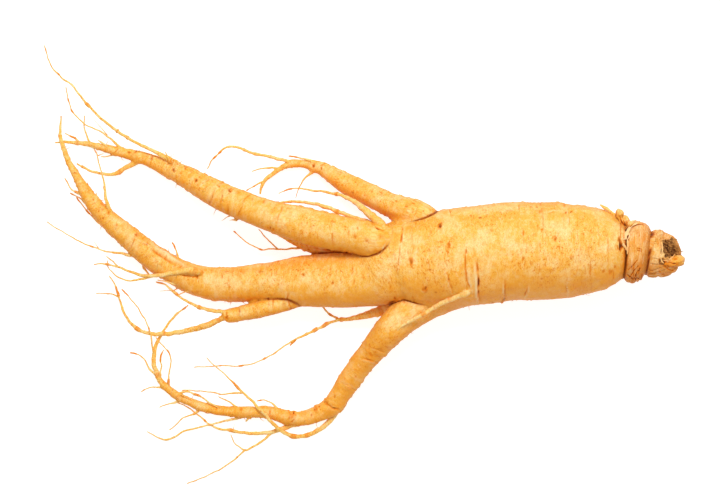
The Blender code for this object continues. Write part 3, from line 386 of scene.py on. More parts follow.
# The lumps and pinches of the thick limbs, as in the solid.
SWELL = 0.022
SWELL_WAVES = 3
SWELL_PITCH = 0.021
# Each limb has its own stretch of the straightened skin.
LIMB_OFFSET = 260.0
CREASE_WIDTH = 0.45
CREASE_SHARP = 0.6
CREASE_SOFT = 2.6

# Marks given one by one on the side that faces up, in the drawn millimetres.
# A crack is its points, half-width, depth, height of its raised lip, the side that the lip is on, and rust.
CRACKS = [
    ([(-21.7, -4.7), (-20.4, -9), (-19.3, -14.6)], 0.22, 0.22, 0.12, 1, 0.65),
    ([(-15.2, -5.6), (-14.6, -9), (-13.2, -13.6)], 0.24, 0.3, 0.3, -1, 0.72),
    ([(-11.5, -2.6), (-11.1, -7.5), (-10.9, -12), (-10.3, -17)], 0.34, 0.75, 0.38, 1, 1.12),
    ([(-2.3, -9.2), (-2.1, -12.4), (-1.4, -16)], 0.22, 0.26, 0.26, 1, 0.68),
    ([(5.4, -10.6), (4.7, -13.2), (4.1, -15.4)], 0.24, 0.3, 0.22, -1, 0.72),
    ([(18.3, -7), (18.2, -11.5), (18.6, -15.2)], 0.2, 0.24, 0.26, -1, 0.67),
    ([(3.9, 9.2), (3.9, 6), (3.8, 2.6)], 0.16, 0.14, 0.1, 1, 0.58),
    ([(-1.7, 7.4), (-1.9, 3.8)], 0.18, 0.12, 0.16, 1, 0.56),
    ([(19.2, 15.8), (19.1, 12.5), (18.9, 9.2)], 0.18, 0.16, 0.18, 1, 0.59),
    ([(17, 12.6), (16.2, 13.4), (14, 13.9), (11.6, 12.8)], 0.18, 0.08, 0.22, 1, 0.52),
    ([(-36, 9.2), (-36.2, 6.6), (-36.9, 3)], 0.3, 0.4, 0.16, -1, 1),
    ([(-36.7, 3.4), (-37.2, 0), (-37.7, -4), (-38.3, -7.2)], 0.22, 0.22, 0.1, -1, 0.78),
    ([(-20.3, 15.2), (-20, 11.6)], 0.24, 0.3, 0.14, 1, 0.72),
    ([(3.1, 17), (2.8, 13.4)], 0.18, 0.18, 0.1, 1, 0.61),
    ([(-31.2, 2.4), (-30.9, -1.4)], 0.18, 0.14, 0.14, 1, 0.58),
    ([(-33.7, -0.4), (-33.3, -2.2), (-33, -5)], 0.36, 0.12, 0.06, -1, 0.85),
    ([(-32.5, 1.9), (-32.9, 0.2), (-33, -1.2)], 0.2, 0.08, 0.14, 1, 0.55),
    ([(-32.2, -1.4), (-32.1, -3.4)], 0.24, 0.08, 0, 1, 0.52),
    ([(-34.4, 1.5), (-34.3, -0.6)], 0.16, 0.08, 0.14, 1, 0.5),
    # A painted shadow in the notch where the arm and the leg meet, with no lip.
    ([(-41.4, -17.3), (-39.6, -16.6), (-37.2, -15.3)], 0.5, 0.2, 0, 1, 1.15),
    ([(-37, -14.9), (-34.6, -15.7), (-31.8, -16.9)], 0.14, 0.12, 0.3, 1, 0.55),
    ([(-75.4, 16.6), (-76.2, 14.2), (-77.4, 10), (-77.9, 8)], 0.22, 0.22, 0.12, -1, 0.65),
    ([(-73.6, -12.2), (-74.2, -14.8), (-73.2, -17.6), (-72.4, -19.4)], 0.26, 0.36, 0.14, 1, 0.77),
    ([(-125, 6.4), (-125.4, 3.8), (-126.9, 1)], 0.22, 0.26, 0.1, 1, 0.68),
    ([(-131, 10.4), (-131.5, 7.4)], 0.2, 0.18, 0.1, 1, 0.61),
    ([(-121.3, 2.9), (-118.8, 1), (-116.4, -0.9), (-112.8, -3.2), (-107.8, -5.6)], 0.52, 0.75, 0.45, -1, 0.62),
    ([(-125.2, 4.9), (-123.4, 3.4), (-121.3, 2.6), (-119.2, 0.9)], 0.18, 0.16, 0.22, -1, 0.5),
    # A painted shadow under the armpit twig's foot.
    ([(-46.6, 10.2), (-44.2, 8.5), (-42.4, 7.7), (-41, 8)], 0.3, 0.5, 0, 1, 0.95),
    ([(-43.6, 7.4), (-43.5, 5.6), (-43.7, 4.2)], 0.18, 0.16, 0, 1, 0.5),
    ([(-44.2, -1.6), (-42.6, 0.2), (-41.3, 2.6), (-40.8, 3.8)], 0.15, 0.2, 0.4, -1, 0.85),
    # A painted shadow under the rider's foot.
    ([(-111, -7.5), (-107.6, -7.3), (-104.2, -7.8), (-102.9, -6.9)], 0.32, 0.5, 0, 1, 1),
    ([(-96.2, -6.2), (-95.8, -8.6)], 0.24, 0.2, 0.1, 1, 0.63),
    ([(-94.4, -19.4), (-94.7, -21), (-94.2, -23.2)], 0.34, 0.3, 0, 1, 0.95),
    ([(-118.9, 34.2), (-119.8, 31.6), (-120.3, 29.2)], 0.26, 0.3, 0.12, 1, 0.72),
    ([(-124, 33.8), (-119.6, 32.9), (-115.6, 31.4), (-113.4, 30.6)], 0.22, 0.3, 0.14, 1, 0.72),
    ([(-96, 21.6), (-95.6, 18.8), (-96.6, 16)], 0.18, 0.16, 0, 1, 0.59),
    ([(-50.6, -34.6), (-48, -35.2), (-44.2, -36.4)], 0.24, 0.26, 0.12, 1, 0.68),
    ([(-48.2, -30.6), (-45.4, -31.4), (-41.8, -33)], 0.22, 0.2, 0.1, 1, 0.63),
    ([(-56.6, -43.4), (-53.2, -44.6), (-50.6, -46.4)], 0.22, 0.2, 0.1, -1, 0.63),
    ([(-62.3, -49.6), (-60.6, -50.9), (-59.3, -51.9), (-56.4, -52.6)], 0.36, 0.8, 0.05, 1, 1.2),
    ([(-73.4, -56.9), (-72.6, -55.8), (-71.6, -54.6)], 0.24, 0.24, 0.08, 1, 0.85),
    # A painted shadow in the gap below the upper leg, with only a slight groove.
    ([(-68.6, 2.3), (-63.2, 1.3), (-56.4, 0.3), (-50, -0.8), (-45.4, -1.3)], 0.5, 0.1, 0, 1, 0.9),
    ([(-79.6, -51.4), (-80.2, -55.2)], 0.22, 0.24, 0.08, 1, 0.67),
]
# A pit or a flake scar is (x, y, radius, depth, rust). A negative depth makes it a small swelling.
PITS = [
    (-23.6, 8.9, 1.25, 0.22, 0.92), (-20.6, 2.6, 1.2, 0.12, 0.62), (-15, 0.5, 0.55, 0.2, 0.8),
    (10, 7.7, 0.35, 0.1, 0.6), (14.4, 4.7, 0.95, 0.22, 0.7), (3.7, -1.9, 0.8, 0.1, 0.45),
    (-28.5, -11.7, 1.3, 0.2, 0.88), (-33.2, -2.4, 1.5, 0.1, 0.66), (18.1, 13.4, 0.5, 0.3, 0.95),
    (19.8, 13.6, 0.45, 0.28, 0.9), (9.7, 13.8, 1, 0.06, 0.4), (-13.2, 12.4, 0.45, 0.1, 0.6),
    (36.5, 2.4, 1.7, 0.8, 1.1), (36, 4.6, 1.2, 0.4, 0.8), (33, -6.3, 1.3, 0.06, 0.5),
    (30.6, -6, 0.7, 0.08, 0.6), (34.6, -4.6, 0.8, 0.08, 0.55), (-2.2, -15.4, 0.8, 0.25, 0.9),
    (-36.4, 4.4, 0.7, 0.2, 0.8), (-40, 0.2, 0.3, 0.08, 0.7), (-38.4, -15, 0.8, 0.2, 0.9),
    (-59.2, -9.8, 0.65, 0.2, 0.85), (-60.8, -8.6, 0.35, 0.1, 0.6), (-68.8, -7.1, 0.75, 0.14, 0.65),
    (-70.6, -6, 0.35, 0.12, 0.85), (-64.1, -5.1, 0.35, 0.08, 0.5), (-65.2, 9, 0.3, 0.1, 0.75),
    (-55, 7.6, 0.35, 0.12, 0.7), (-50.7, 8.1, 0.9, 0.08, 0.45), (-47.6, 4, 1, 0.1, 0.55),
    (-51.6, 5.4, 0.9, 0.08, 0.5), (-59.2, 10.3, 0.8, 0.06, 0.4), (-78.8, 7.8, 0.8, 0.16, 0.7),
    (-79.8, 8.3, 0.5, 0.2, 0.95), (-90, -19.4, 0.7, 0.14, 0.7), (-112.3, 27.6, 0.62, 0.4, 1),
    (-104.7, 24.2, 0.85, 0.22, 0.85), (-93.4, 20.8, 0.95, 0.26, 1), (-97, 22.1, 0.5, 0.14, 0.7),
    (-95.9, 19, 0.35, 0.12, 0.75), (-127.2, 33.7, 0.5, 0.22, 0.95), (-108.3, 28.4, 0.9, 0.12, 0.55),
    (-100.3, 16.9, 0.9, 0.12, 0.6), (-119.6, 32, 0.6, 0.26, 0.95), (-112.9, 30.9, 1, 0.2, 0.8),
    (-124.7, 34.2, 0.8, 0.18, 0.8), (-124.6, 6, 0.9, 0.22, 0.85), (-133.7, 13.3, 0.7, 0.12, 0.6),
    (-135.7, 11.5, 0.35, 0.14, 0.85), (-138.9, 17.7, 0.5, 0.12, 0.6), (-120.9, 3.1, 0.7, 0.12, 0.6),
    (-104.4, -8, 0.7, 0.26, 0.9), (-65.4, 29.2, 0.8, 0.2, 0.9), (-62.8, 28.2, 0.6, 0.16, 0.8),
    (-61.2, -50.2, 0.8, 0.2, 0.9), (-94.6, -21.4, 0.9, 0.2, 0.9), (-72.8, -18.6, 0.8, 0.2, 0.85),
    (-66.4, -54, 0.5, 0.12, 0.7), (-58.4, -48, 0.5, 0.1, 0.6), (-47, -30.4, 0.6, 0.1, 0.55),
    (-51.4, -41.2, 0.5, 0.1, 0.55), (-64.5, -51.7, 1.7, -0.4, 0.35), (-65.3, -52.5, 0.5, 0.1, 0.9),
    (-63.7, -51.4, 0.45, 0.1, 0.9), (-64.9, -50.8, 0.4, 0.1, 0.85), (-64.4, -52.3, 0.35, 0.06, 0.9),
    (-65.9, -51.6, 0.35, 0.06, 0.8), (-63.2, -52.3, 0.3, 0.06, 0.75), (-72.9, -54.6, 1.6, -0.35, 0.38),
    (-72.2, -53.5, 0.5, 0.1, 0.9), (-71.5, -54.3, 0.4, 0.1, 0.8), (-73.7, -55.1, 0.45, 0.1, 0.85),
    (-2.8, -16.2, 0.8, -0.55, 0.5), (-31.5, 9.8, 0.6, 0.08, 0.45), (-26.5, 7, 1.5, 0.04, 0.3),
    (-89.8, -52.4, 0.9, -0.3, 0.45),
]
# The corners are finer within this many widths of a crack and radii of a pit.
CRACK_REACH = 3.2
PIT_REACH = 1.3

# Rings that chance places along the limbs: how many a centimetre.
CHANCE_RINGS_PER_CM = 2.6
# The skin's lumps: height, size and seed.
LUMPS = [(0.22, 8.0, 1), (0.13, 2.8, 2)]
# Ripples and pimples on the straightened skin: size along the limb and round it. Slim limbs are rippled more.
RIPPLE_SIZE = np.array([0.7, 3.5, 3.5])
RIPPLE_HEIGHT = 0.035
SLIM_RIPPLE_HEIGHT = 0.045
PIMPLE_SIZE = np.array([0.9, 1.9, 1.9])
PIMPLE_HEIGHT = 0.26

# Painted light and shade: the skin is painted palest where it faces this way, toward the lamp, and deeper on
# the sides turned away and below.
PAINTED_LIGHT_WAY = (0.0, 0.42, 0.91)
# A band of painted shade runs where the skin tilts this much, and the arms are more tanned than the torso.
SHADE_BAND_TILT = 0.64
SHADE_BAND_WIDTH = 0.24
SHADE_BAND_STRENGTH = 0.32
LEG_TAN = 0.06
ARM_TAN = 0.18

# The neck and its buds: x, y, height and radius.
NECK = [
    (34, 0.3, 15.4, 6), (37.2, 0.3, 15.4, 6.4), (37.8, 0.3, 15.4, 7.6), (38.1, 0.3, 15.4, 8.7),
    (38.6, 0.3, 15.4, 9.5), (39.6, 0.3, 15.4, 10), (41, 0.3, 15.4, 10.2), (42.6, 0.3, 15.4, 10),
    (44, 0.3, 15.4, 9.3), (45, 0.3, 15.4, 8.3), (45.6, 0.3, 15.4, 7.2), (45.95, 0.3, 15.4, 6.6),
    (46.3, 0.3, 15.5, 7.1), (47, 0.1, 15.5, 7.4), (48.6, -0.1, 15.7, 7.5), (50.6, -0.1, 16, 7.3),
    (52.4, 0.2, 16.4, 6.8), (53.4, 0.5, 16.6, 6.2), (54.6, 0.8, 16.8, 5.3), (55.5, 0.9, 17, 4.1),
    (56.1, 0.9, 17.1, 2.4), (56.4, 0.9, 17.1, 0.7),
]
NECK_SIDES = 300
NECK_STEP = 0.16
# How far the rings lean for each millimetre across, on the shoulder, at the neck's start, at its collars,
# and the share of that lean which the scar's end loses on either side.
SHOULDER_SLANT = 0.035
START_SLANT = 0.035
COLLAR_SLANT = 0.135
END_SLANT_UPPER = 2.6
END_SLANT_LOWER = 0.8
# Where the groove between the collars runs, and the width of the painted shade along it.
GROOVE_AT = 45.95
GROOVE_WIDTH = 0.38
SCAR_MIDDLE = (53.2, 1.6, 21.2)
SCAR_WAY = (0.62, 0.20, 0.76)
SCAR_RADIUS = 4.0
SCAR_RAGGED = 1.1
SCAR_DEPTH = 0.9
SCAR_PIT = (50.1, -3.0)
SCAR_PIT_DEPTH = 1.3
# Fine lines on the neck: points (x, y), depth and how rusty each one is.
NECK_LINES = [
    ([(41.6, 1.7), (43, 1.3)], 0.14, 0.8), ([(41.8, 0.9), (43.2, 0.6)], 0.14, 0.8),
    ([(39, -5.6), (40.6, -4), (42, -2.4)], 0.16, 0.75),
    ([(40.2, -7.4), (41.4, -5.6), (42.6, -4.4)], 0.18, 0.8),
    ([(41.8, -7.6), (42.6, -6.2), (43.4, -5)], 0.14, 0.75),
    ([(38.9, -7.2), (41, -8.6), (43.6, -8.4)], 0.3, 0.95),
    ([(39.2, 8.6), (41, 9.3), (43, 9.5)], 0.26, 0.85), ([(51, -3.4), (53.2, -4), (55.2, -4.2)], 0.2, 0.95),
    ([(50.9, -4), (52.6, -5.2), (54, -5.6)], 0.18, 0.85),
    ([(49.6, -5.2), (50.6, -6.6), (51.6, -7)], 0.14, 0.6),
]
NECK_LINE_WIDTH = 0.2

BUDS = {
    "shoot_lobe_upper": [
        (38.1, 8.8, 19.4, 1), (37.3, 10.4, 19.9, 1.35), (36.6, 11.9, 20, 1.4), (36.1, 13, 20.3, 1.5),
        (35.8, 13.9, 20.3, 1.25), (35.6, 14.5, 20.2, 0.8), (35.5, 14.85, 20.2, 0.25),
    ],
    "shoot_lobe_lower": [
        (39, 8.4, 19, 1), (38.4, 9.9, 19.5, 1.35), (37.9, 11.2, 19.8, 1.35), (37.4, 12.1, 19.7, 0.95),
        (37.1, 12.6, 19.6, 0.25),
    ],
    "bract_knob": [
        (38.2, 7.8, 22.4, 0.5), (38.8, 8.8, 22.6, 0.85), (39.4, 9.5, 22.4, 0.95), (40, 10.1, 22, 0.7),
        (40.3, 10.4, 21.8, 0.25),
    ],
    "scar_bud": [
        (50.6, -3.1, 21.6, 1.2), (52, -3.1, 21.3, 1.7), (53.8, -2.9, 20.5, 2.1), (55.4, -2.6, 19.5, 2.1),
        (56.7, -2.3, 18.6, 1.6), (57.4, -2.1, 18.1, 1), (57.8, -2, 17.8, 0.3),
    ],
}
BUD_SIDES = 48
BUD_STEP = 0.14

# Papery scales: points (x, y, height), half-width at the middle, and how far the strip curls.
SCALES = [
    ([(39, 8.4, 22.6), (40.4, 9.3, 22.2), (41.6, 9.9, 21.8), (42.8, 10.5, 21.2)], 0.34, 0.25),
    ([(38.9, 9.9, 21.6), (40.2, 10.5, 21.2), (41.8, 10.9, 20.5)], 0.26, -0.2),
    ([(39.4, 8.6, 23), (38.6, 7.2, 24), (37.9, 5.6, 24.8), (38, 4.4, 25)], 0.62, 0.4),
    ([(38.6, 7, 24.2), (39.2, 6, 24.6), (38.8, 4.6, 25)], 0.3, 0.2),
    ([(38.4, 4.8, 25.2), (38.6, 2.9, 25.5), (38.5, 1, 25.5), (38.4, -0.4, 25.2)], 0.36, 0.3),
    ([(37, 3.4, 25.2), (37.2, 2.6, 25.8), (37.9, 1.8, 25.9), (38.2, 0.8, 25.6)], 0.5, -0.25),
    ([(36.9, 4.4, 25), (37.6, 4.8, 25.4), (38.4, 5, 25.4)], 0.26, 0.15),
    ([(49.9, 3.8, 22.9), (50, 2.6, 23.5), (50.1, 1, 23.7), (49.9, -0.6, 23.5)], 0.3, 0.3),
    ([(49.4, 3.2, 23.1), (49.3, 1.6, 23.5)], 0.2, 0.2),
    ([(50.4, -2.4, 23.2), (51.8, -2.3, 22.8), (53.2, -1.6, 22.2), (54.4, -0.4, 21.6)], 0.26, 0.25),
    ([(50, -4.2, 22), (50.8, -5, 21.4), (52.2, -5.6, 20.5)], 0.24, 0.2),
    ([(49.6, -1.6, 23.4), (49.9, -2.6, 23.3), (50.6, -3.4, 23)], 0.26, 0.2),
]
SCALE_STEP = 0.3
SCALE_THICKNESS = 0.14
SCALE_CROSS = 5

# Flecks are (width along the limb, length round it, amount, strength), in metres.
SKIN_FLECKS = [
    (0.00042, 0.00060, 0.93, 0.85), (0.00080, 0.00120, 0.86, 0.85), (0.0018, 0.0030, 0.66, 0.50),
    (0.00035, 0.0024, 0.88, 0.75), (0.00060, 0.0060, 0.76, 0.55),
]
NECK_FLECKS = [
    (0.00030, 0.0050, 0.95, 0.60), (0.0008, 0.0090, 0.90, 0.45), (0.0006, 0.0010, 0.70, 0.60),
]
# Dots are (spacing, size, strength).
DOTS = [(0.0040, 0.15, 0.85), (0.0018, 0.20, 0.70)]
# Finishes: pale, middle and deep tone, flecks, roughness, and how much light goes in.
FINISHES = {
    "fresh_skin": (("straw", "golden", "deep"), SKIN_FLECKS, 0.40, 0.12),
    "rootlet_skin": (("straw", "golden", "deep"), SKIN_FLECKS, 0.48, 0.15),
    "hair_skin": (("golden", "amber", "amber"), NECK_FLECKS, 0.55, 0.10),
    "neck_skin": (("golden", "collar", "amber"), NECK_FLECKS, 0.50, 0.08),
    "bud_skin": (("golden", "golden", "amber"), NECK_FLECKS, 0.42, 0.10),
    "papery_scale": (("husk", "collar", "amber"), NECK_FLECKS, 0.60, 0.05),
    "torn_fibre": (("collar", "scar", "dark"), NECK_FLECKS, 0.60, 0.05),
}
# Layers of a finish: the mottling that each follows, where it starts, where it is full, and its strength.
# The pale layers are painted light: the finish keeps them to the side that faces the lamp.
PALE_LAYERS = [("Patch", 0.60, 0.0, 0.36), ("Cloud", 0.50, 0.0, 0.34), ("Grain", 0.50, 0.0, 0.26)]
DEEP_LAYERS = [("Cloud", 0.50, 1.0, 0.42), ("Grain", 0.48, 1.0, 0.50)]
RUST_LAYERS = [(0.04, 0.40, 0.85, "freckle"), (0.40, 0.75, 0.90, "rust"), (0.75, 1.00, 0.85, "dark")]
BUMP_DISTANCE = 0.00024
LIGHT_REACH = (1.0, 0.45, 0.15)
LIGHT_SCALE = 0.0018
SHEEN_LEVEL = 0.14

# Fine hairs: how many a square metre, length and radius in drawn millimetres, rise, spread, lean and finish.
HAIRS = {
    "limb_hairs": (16000.0, 2.6, 0.11, 0.7, 1.0, (0.0, 0.0, 0.0), "hair_skin"),
    "scar_fibres": (2600000.0, 2.0, 0.16, 0.75, 0.6, (0.35, -1.1, 0.0), "torn_fibre"),
}

# The stage, in metres.
FLOOR_HALF = 1.5
FLOOR_GAP = 0.0001
FLOOR_GREY = 0.45
FLOOR_ROUGHNESS = 0.8
FLOOR_GLOW = 0.80
SKY_STRENGTH = 0.62
LOOK_AT = Vector((-0.045, 0.0, 0.01))
LAMP_PLACE = Vector((0.05, 0.75, 1.45))
LAMP_SIZE = 0.55
LAMP_POWER = 17.0
CAMERA_PLACE = (-0.050, 0.001, 2.010)
LENS = 300.0
SENSOR = 36.0


def place(points):
    """Drawn millimetres in the frame's metres."""
    return np.asarray(points, float) * PLACE


def fade(value, start, end):
    """0 up to start, 1 from end, and smooth between."""
    t = np.clip((value - start) / (end - start), 0.0, 1.0)
    return t * t * (3 - 2 * t)


def window(value, start, end, edge):
    """1 between start and end, and 0 outside them."""
    return fade(value, start - edge, start + edge) * (1 - fade(value, end - edge, end + edge))


def hump(value, width):
    """1 at nothing, falling away on both sides over about the width."""
    return np.exp(-((value / width) ** 2))


def lattice_noise(points, seed):
    """Smooth noise between -1 and 1 that changes over about one unit of the points."""
    cell = np.floor(points).astype(np.int64)
    part = points - cell
    part = part * part * (3 - 2 * part)
    total = np.zeros(len(points))
    for corner in itertools.product((0, 1), repeat=3):
        weight = np.prod(np.where(corner, part, 1 - part), axis=1)
        key = (cell + corner) @ np.array([127, 311, 739]) + 1013 * seed
        total += weight * np.modf(np.abs(np.sin(key * 12.9898)) * 43758.5453)[0]
    return total * 2 - 1


def travel(points):
    """How far along the chain of points each one is."""
    steps = np.linalg.norm(np.diff(points[:, :3], axis=0), axis=1)
    return np.concatenate([[0.0], np.cumsum(steps)])


def smooth_route(stations, step):
    """Rings along a smooth curve through the stations, about one step apart."""
    table = np.array(stations, float)
    spans = np.linalg.norm(np.diff(table[:, :3], axis=0), axis=1)
    slopes = np.diff(table, axis=0) / spans[:, None]
    tangents = np.empty_like(table)
    tangents[0], tangents[-1] = slopes[0], slopes[-1]
    before, after = spans[:-1, None], spans[1:, None]
    tangents[1:-1] = (slopes[:-1] * after + slopes[1:] * before) / (before + after)
    rings = []
    for i, span in enumerate(spans):
        steps = max(1, round(span / step))
        t = (np.arange(steps) / steps)[:, None]
        rings.append(
            (2 * t**3 - 3 * t**2 + 1) * table[i]
            + (t**3 - 2 * t**2 + t) * span * tangents[i]
            + (3 * t**2 - 2 * t**3) * table[i + 1]
            + (t**3 - t**2) * span * tangents[i + 1]
        )
    return np.vstack(rings + [table[-1:]])


def turning_frames(centres):
    """Two axes across the route at each ring, which turn as little as possible along it."""
    side = Vector((0.0, 0.0, 1.0))
    sides, acrosses = [], []
    for direction in np.gradient(centres, axis=0):
        forward = Vector(direction).normalized()
        side = (side - forward * side.dot(forward)).normalized()
        sides.append(side)
        acrosses.append(forward.cross(side))
    return np.array(sides), np.array(acrosses)


class Route:
    """The rings of one limb, and how far any point is from its skin."""

    def __init__(self, stations, step=RING_STEP, discs=False):
        rings = smooth_route(place(stations), step * PLACE)
        self.discs = discs
        self.centres = rings[:, :3]
        self.radii = rings[:, 3]
        self.arc = travel(self.centres)
        self.sides, self.acrosses = turning_frames(self.centres)
        reach = self.radii.max() + REACH * PLACE
        self.low = self.centres.min(axis=0) - reach
        self.high = self.centres.max(axis=0) + reach

    def near(self, points):
        """The numbers of the points that are close enough to matter."""
        return np.flatnonzero(np.all((points > self.low) & (points < self.high), axis=1))

    def nearest_ring(self, points):
        """The ring that each point is closest to."""
        found = np.empty(len(points), int)
        for start in range(0, len(points), CHUNK):
            block = points[start:start + CHUNK]
            gap = np.linalg.norm(block[:, None] - self.centres, axis=2)
            if not self.discs:
                gap -= self.radii
            found[start:start + CHUNK] = gap.argmin(axis=1)
        return found

    def measure(self, points):
        """Gap to the skin, arc length, cosine and sine round the limb, radius and outward direction."""
        ring = self.nearest_ring(points)
        best = None
        for first in (ring - 1, ring):
            first = np.clip(first, 0, len(self.radii) - 2)
            base = self.centres[first]
            span = self.centres[first + 1] - base
            t = np.clip(((points - base) * span).sum(1) / (span**2).sum(1), 0.0, 1.0)
            away = points - base - t[:, None] * span
            distance = np.linalg.norm(away, axis=1)
            outward = away / np.maximum(distance, 1e-9)[:, None]
            arc = self.arc[first] + t * (self.arc[first + 1] - self.arc[first])
            radius = self.radii[first] + t * (self.radii[first + 1] - self.radii[first])
            cosine = (outward * self.sides[first]).sum(1)
            sine = (outward * self.acrosses[first]).sum(1)
            rank = distance if self.discs else distance - radius
            found = np.column_stack([distance - radius, arc, cosine, sine, radius, outward, rank])
            best = found if best is None else np.where(found[:, -1:] < best[:, -1:], found, best)
        return best[:, :-1]


def swelling(arc, cosine, sine):
    """The lumps and pinches of a thick limb, as a share of its radius."""
    angle = np.arctan2(sine, cosine)
    slow = np.sin(arc / SWELL_PITCH + 2.0 * sine)
    lobed = np.sin(SWELL_WAVES * angle + arc / (SWELL_PITCH * 0.6))
    return SWELL * (slow + 0.5 * lobed)


def last_thick(stations):
    """The number of the last station where the limb is thick enough to be part of the skin."""
    return max(i for i, station in enumerate(stations) if station[3] >= THICK_ENOUGH)


def thick_part(stations):
    """The stations of a limb down to where a rootlet takes over, ending sunk in it."""
    last = last_thick(stations)
    thick = list(stations[:last + 1])
    for share, station in zip(THICK_END_SHARES, stations[last + 1:last + 3]):
        thick.append(station[:3] + (station[3] * share,))
    return thick


def thin_part(stations):
    """The rest of the limb, which starts sunk in the thick part."""
    last = last_thick(stations)
    radius = stations[last][3]
    sunk = [
        station[:3] + (radius * share,)
        for share, station in zip(THIN_START_SHARES, stations[last - 1:last + 1])
    ]
    return sunk + list(stations[last + 1:])


def rootlets():
    """The home and the whole stations of each rootlet."""
    for home, _, stations in ROOTLETS:
        yield home, [station if len(station) == 4 else station + (SOLID_LEAST,) for station in stations]


def foot_of(stations):
    """The flared foot of a rootlet, where it leaves its limb."""
    table = smooth_route(stations[:3], FOOT_STEP)
    travelled = travel(table)
    table = table[travelled < travelled[-1] * FOOT_LENGTH]
    travelled = travelled[:len(table)]
    table[:, 3] *= FOOT_FLARE - FOOT_THINNING * travelled / travelled[-1]
    return table


class Skin:
    """The one surface that the thick limbs and the feet of the rootlets make together."""

    def __init__(self):
        self.limbs = []
        for index, (name, stations, crease, smooth, way) in enumerate(LIMBS):
            way = np.array(way, float) / np.linalg.norm(way)
            route = Route(thick_part(stations), discs=name == "trunk")
            self.limbs.append((route, crease * PLACE, smooth * PLACE, way, index))
        for _, stations in rootlets():
            route = Route(foot_of(stations), FOOT_RING_STEP)
            self.limbs.append((route, FOOT_BLEND * PLACE, FOOT_BLEND * PLACE, np.zeros(3), None))

    def read(self, points):
        """Gap, outward direction, straightened place and creasing of each point."""
        gap = np.full(len(points), 1.0)
        outward = np.tile((0.0, 0.0, 1.0), (len(points), 1))
        straight = np.zeros((len(points), 3))
        crease = np.zeros(len(points))
        for route, sharp, smooth, way, index in self.limbs:
            near = route.near(points)
            if not len(near):
                continue
            found = route.measure(points[near])
            arc, cosine, sine, radius = found[:, 1:5].T
            new_gap = found[:, 0]
            if index is not None:
                new_gap = new_gap - radius * swelling(arc, cosine, sine)
            new_outward = found[:, 5:]
            facing = np.clip(new_outward @ way * 0.5 + 0.5, 0.0, 1.0) ** 2
            blend = np.maximum(sharp + (smooth - sharp) * facing, 1e-6)
            apart = gap[near] - new_gap
            share = np.clip(0.5 + 0.5 * apart / blend, 0.0, 1.0)
            gap[near] = gap[near] * (1 - share) + new_gap * share - blend * share * (1 - share)
            mixed = outward[near] * (1 - share[:, None]) + new_outward * share[:, None]
            outward[near] = mixed / np.maximum(np.linalg.norm(mixed, axis=1), 1e-9)[:, None]
            if index is not None:
                here = np.column_stack([arc + LIMB_OFFSET * index * PLACE, radius * cosine, radius * sine])
                straight[near] = np.where(share[:, None] > 0.5, here, straight[near])
            # Where two limbs meet, the crease is marked; the finish paints it rust to dark as painted shade.
            if index:
                sharpness = 1 - fade(blend, CREASE_SHARP * PLACE, CREASE_SOFT * PLACE)
                meets = np.exp(-np.abs(apart) / (CREASE_WIDTH * PLACE)) * sharpness
                crease[near] = np.maximum(crease[near] * (1 - share), meets)
        return gap, outward, straight, crease

    def settle(self, points, rounds):
        """Moves points onto the skin."""
        for _ in range(rounds):
            gap, outward = self.read(points)[:2]
            points = points - outward * gap[:, None]
        return points


def linked(name, mesh):
    """An object in the scene that holds the mesh."""
    made = bpy.data.objects.new(name, mesh)
    bpy.context.scene.collection.objects.link(made)
    return made


def new_piece(name, corners, edges, faces):
    """A mesh object in the scene, from its corners in metres."""
    mesh = bpy.data.meshes.new(name)
    mesh.from_pydata(np.asarray(corners).tolist(), edges, faces)
    return linked(name, mesh)


def tube_shape(route, sides):
    """Corners and faces of a closed tube round a route's rings."""
    angles = (2 * np.pi * np.arange(sides) / sides)[None, :, None]
    around = route.sides[:, None] * np.cos(angles) + route.acrosses[:, None] * np.sin(angles)
    corners = (route.centres[:, None] + around * route.radii[:, None, None]).reshape(-1, 3)
    rings = len(route.radii)
    first = np.arange(rings - 1)[:, None] * sides
    k = np.arange(sides)[None]
    n = (k + 1) % sides
    faces = np.stack([first + k, first + n, first + sides + n, first + sides + k], axis=-1)
    faces = faces.reshape(-1, 4).tolist()
    faces.append(list(range(sides))[::-1])
    faces.append(list(range((rings - 1) * sides, rings * sides)))
    return corners, faces


def joined_tubes(name, routes, sides):
    """One mesh object that holds a rough tube for each route."""
    corners, faces = [], []
    start = 0
    for route in routes:
        more, more_faces = tube_shape(route, sides)
        corners.append(more)
        faces += [[index + start for index in face] for face in more_faces]
        start += len(more)
    return new_piece(name, np.vstack(corners), [], faces)


def bake_modifiers(made):
    """The object's mesh as its modifiers leave it, with the modifiers gone."""
    bpy.context.view_layer.update()
    graph = bpy.context.evaluated_depsgraph_get()
    finished = bpy.data.meshes.new_from_object(made.evaluated_get(graph))
    made.modifiers.clear()
    old = made.data
    made.data = finished
    bpy.data.meshes.remove(old)


def per_corner(items, field):
    """A vector for each corner of a mesh."""
    found = np.empty(len(items) * 3)
    items.foreach_get(field, found)
    return found.reshape(-1, 3)


def corners_of(mesh):
    return per_corner(mesh.vertices, "co")


def corner_normals(mesh):
    return per_corner(mesh.vertex_normals, "vector")


def set_corners(mesh, points):
    mesh.vertices.foreach_set("co", points.ravel())
    mesh.update()


def lift_to_floor(mesh):
    """Nothing of the root goes below the surface that it lies on."""
    points = corners_of(mesh)
    points[:, 2] = np.maximum(points[:, 2], 0.0)
    set_corners(mesh, points)


def store(mesh, **layers):
    """Keeps numbers or vectors for each corner as named attributes."""
    for name, values in layers.items():
        vector = values.ndim == 2
        layer = mesh.attributes.new(name, "FLOAT_VECTOR" if vector else "FLOAT", "POINT")
        layer.data.foreach_set("vector" if vector else "value", values.astype(np.float32).ravel())


@contextlib.contextmanager
def editing(mesh):
    """The mesh as an open shape, which goes back into it at the end."""
    shape = bmesh.new()
    shape.from_mesh(mesh)
    shape.verts.ensure_lookup_table()
    yield shape
    shape.to_mesh(mesh)
    shape.free()


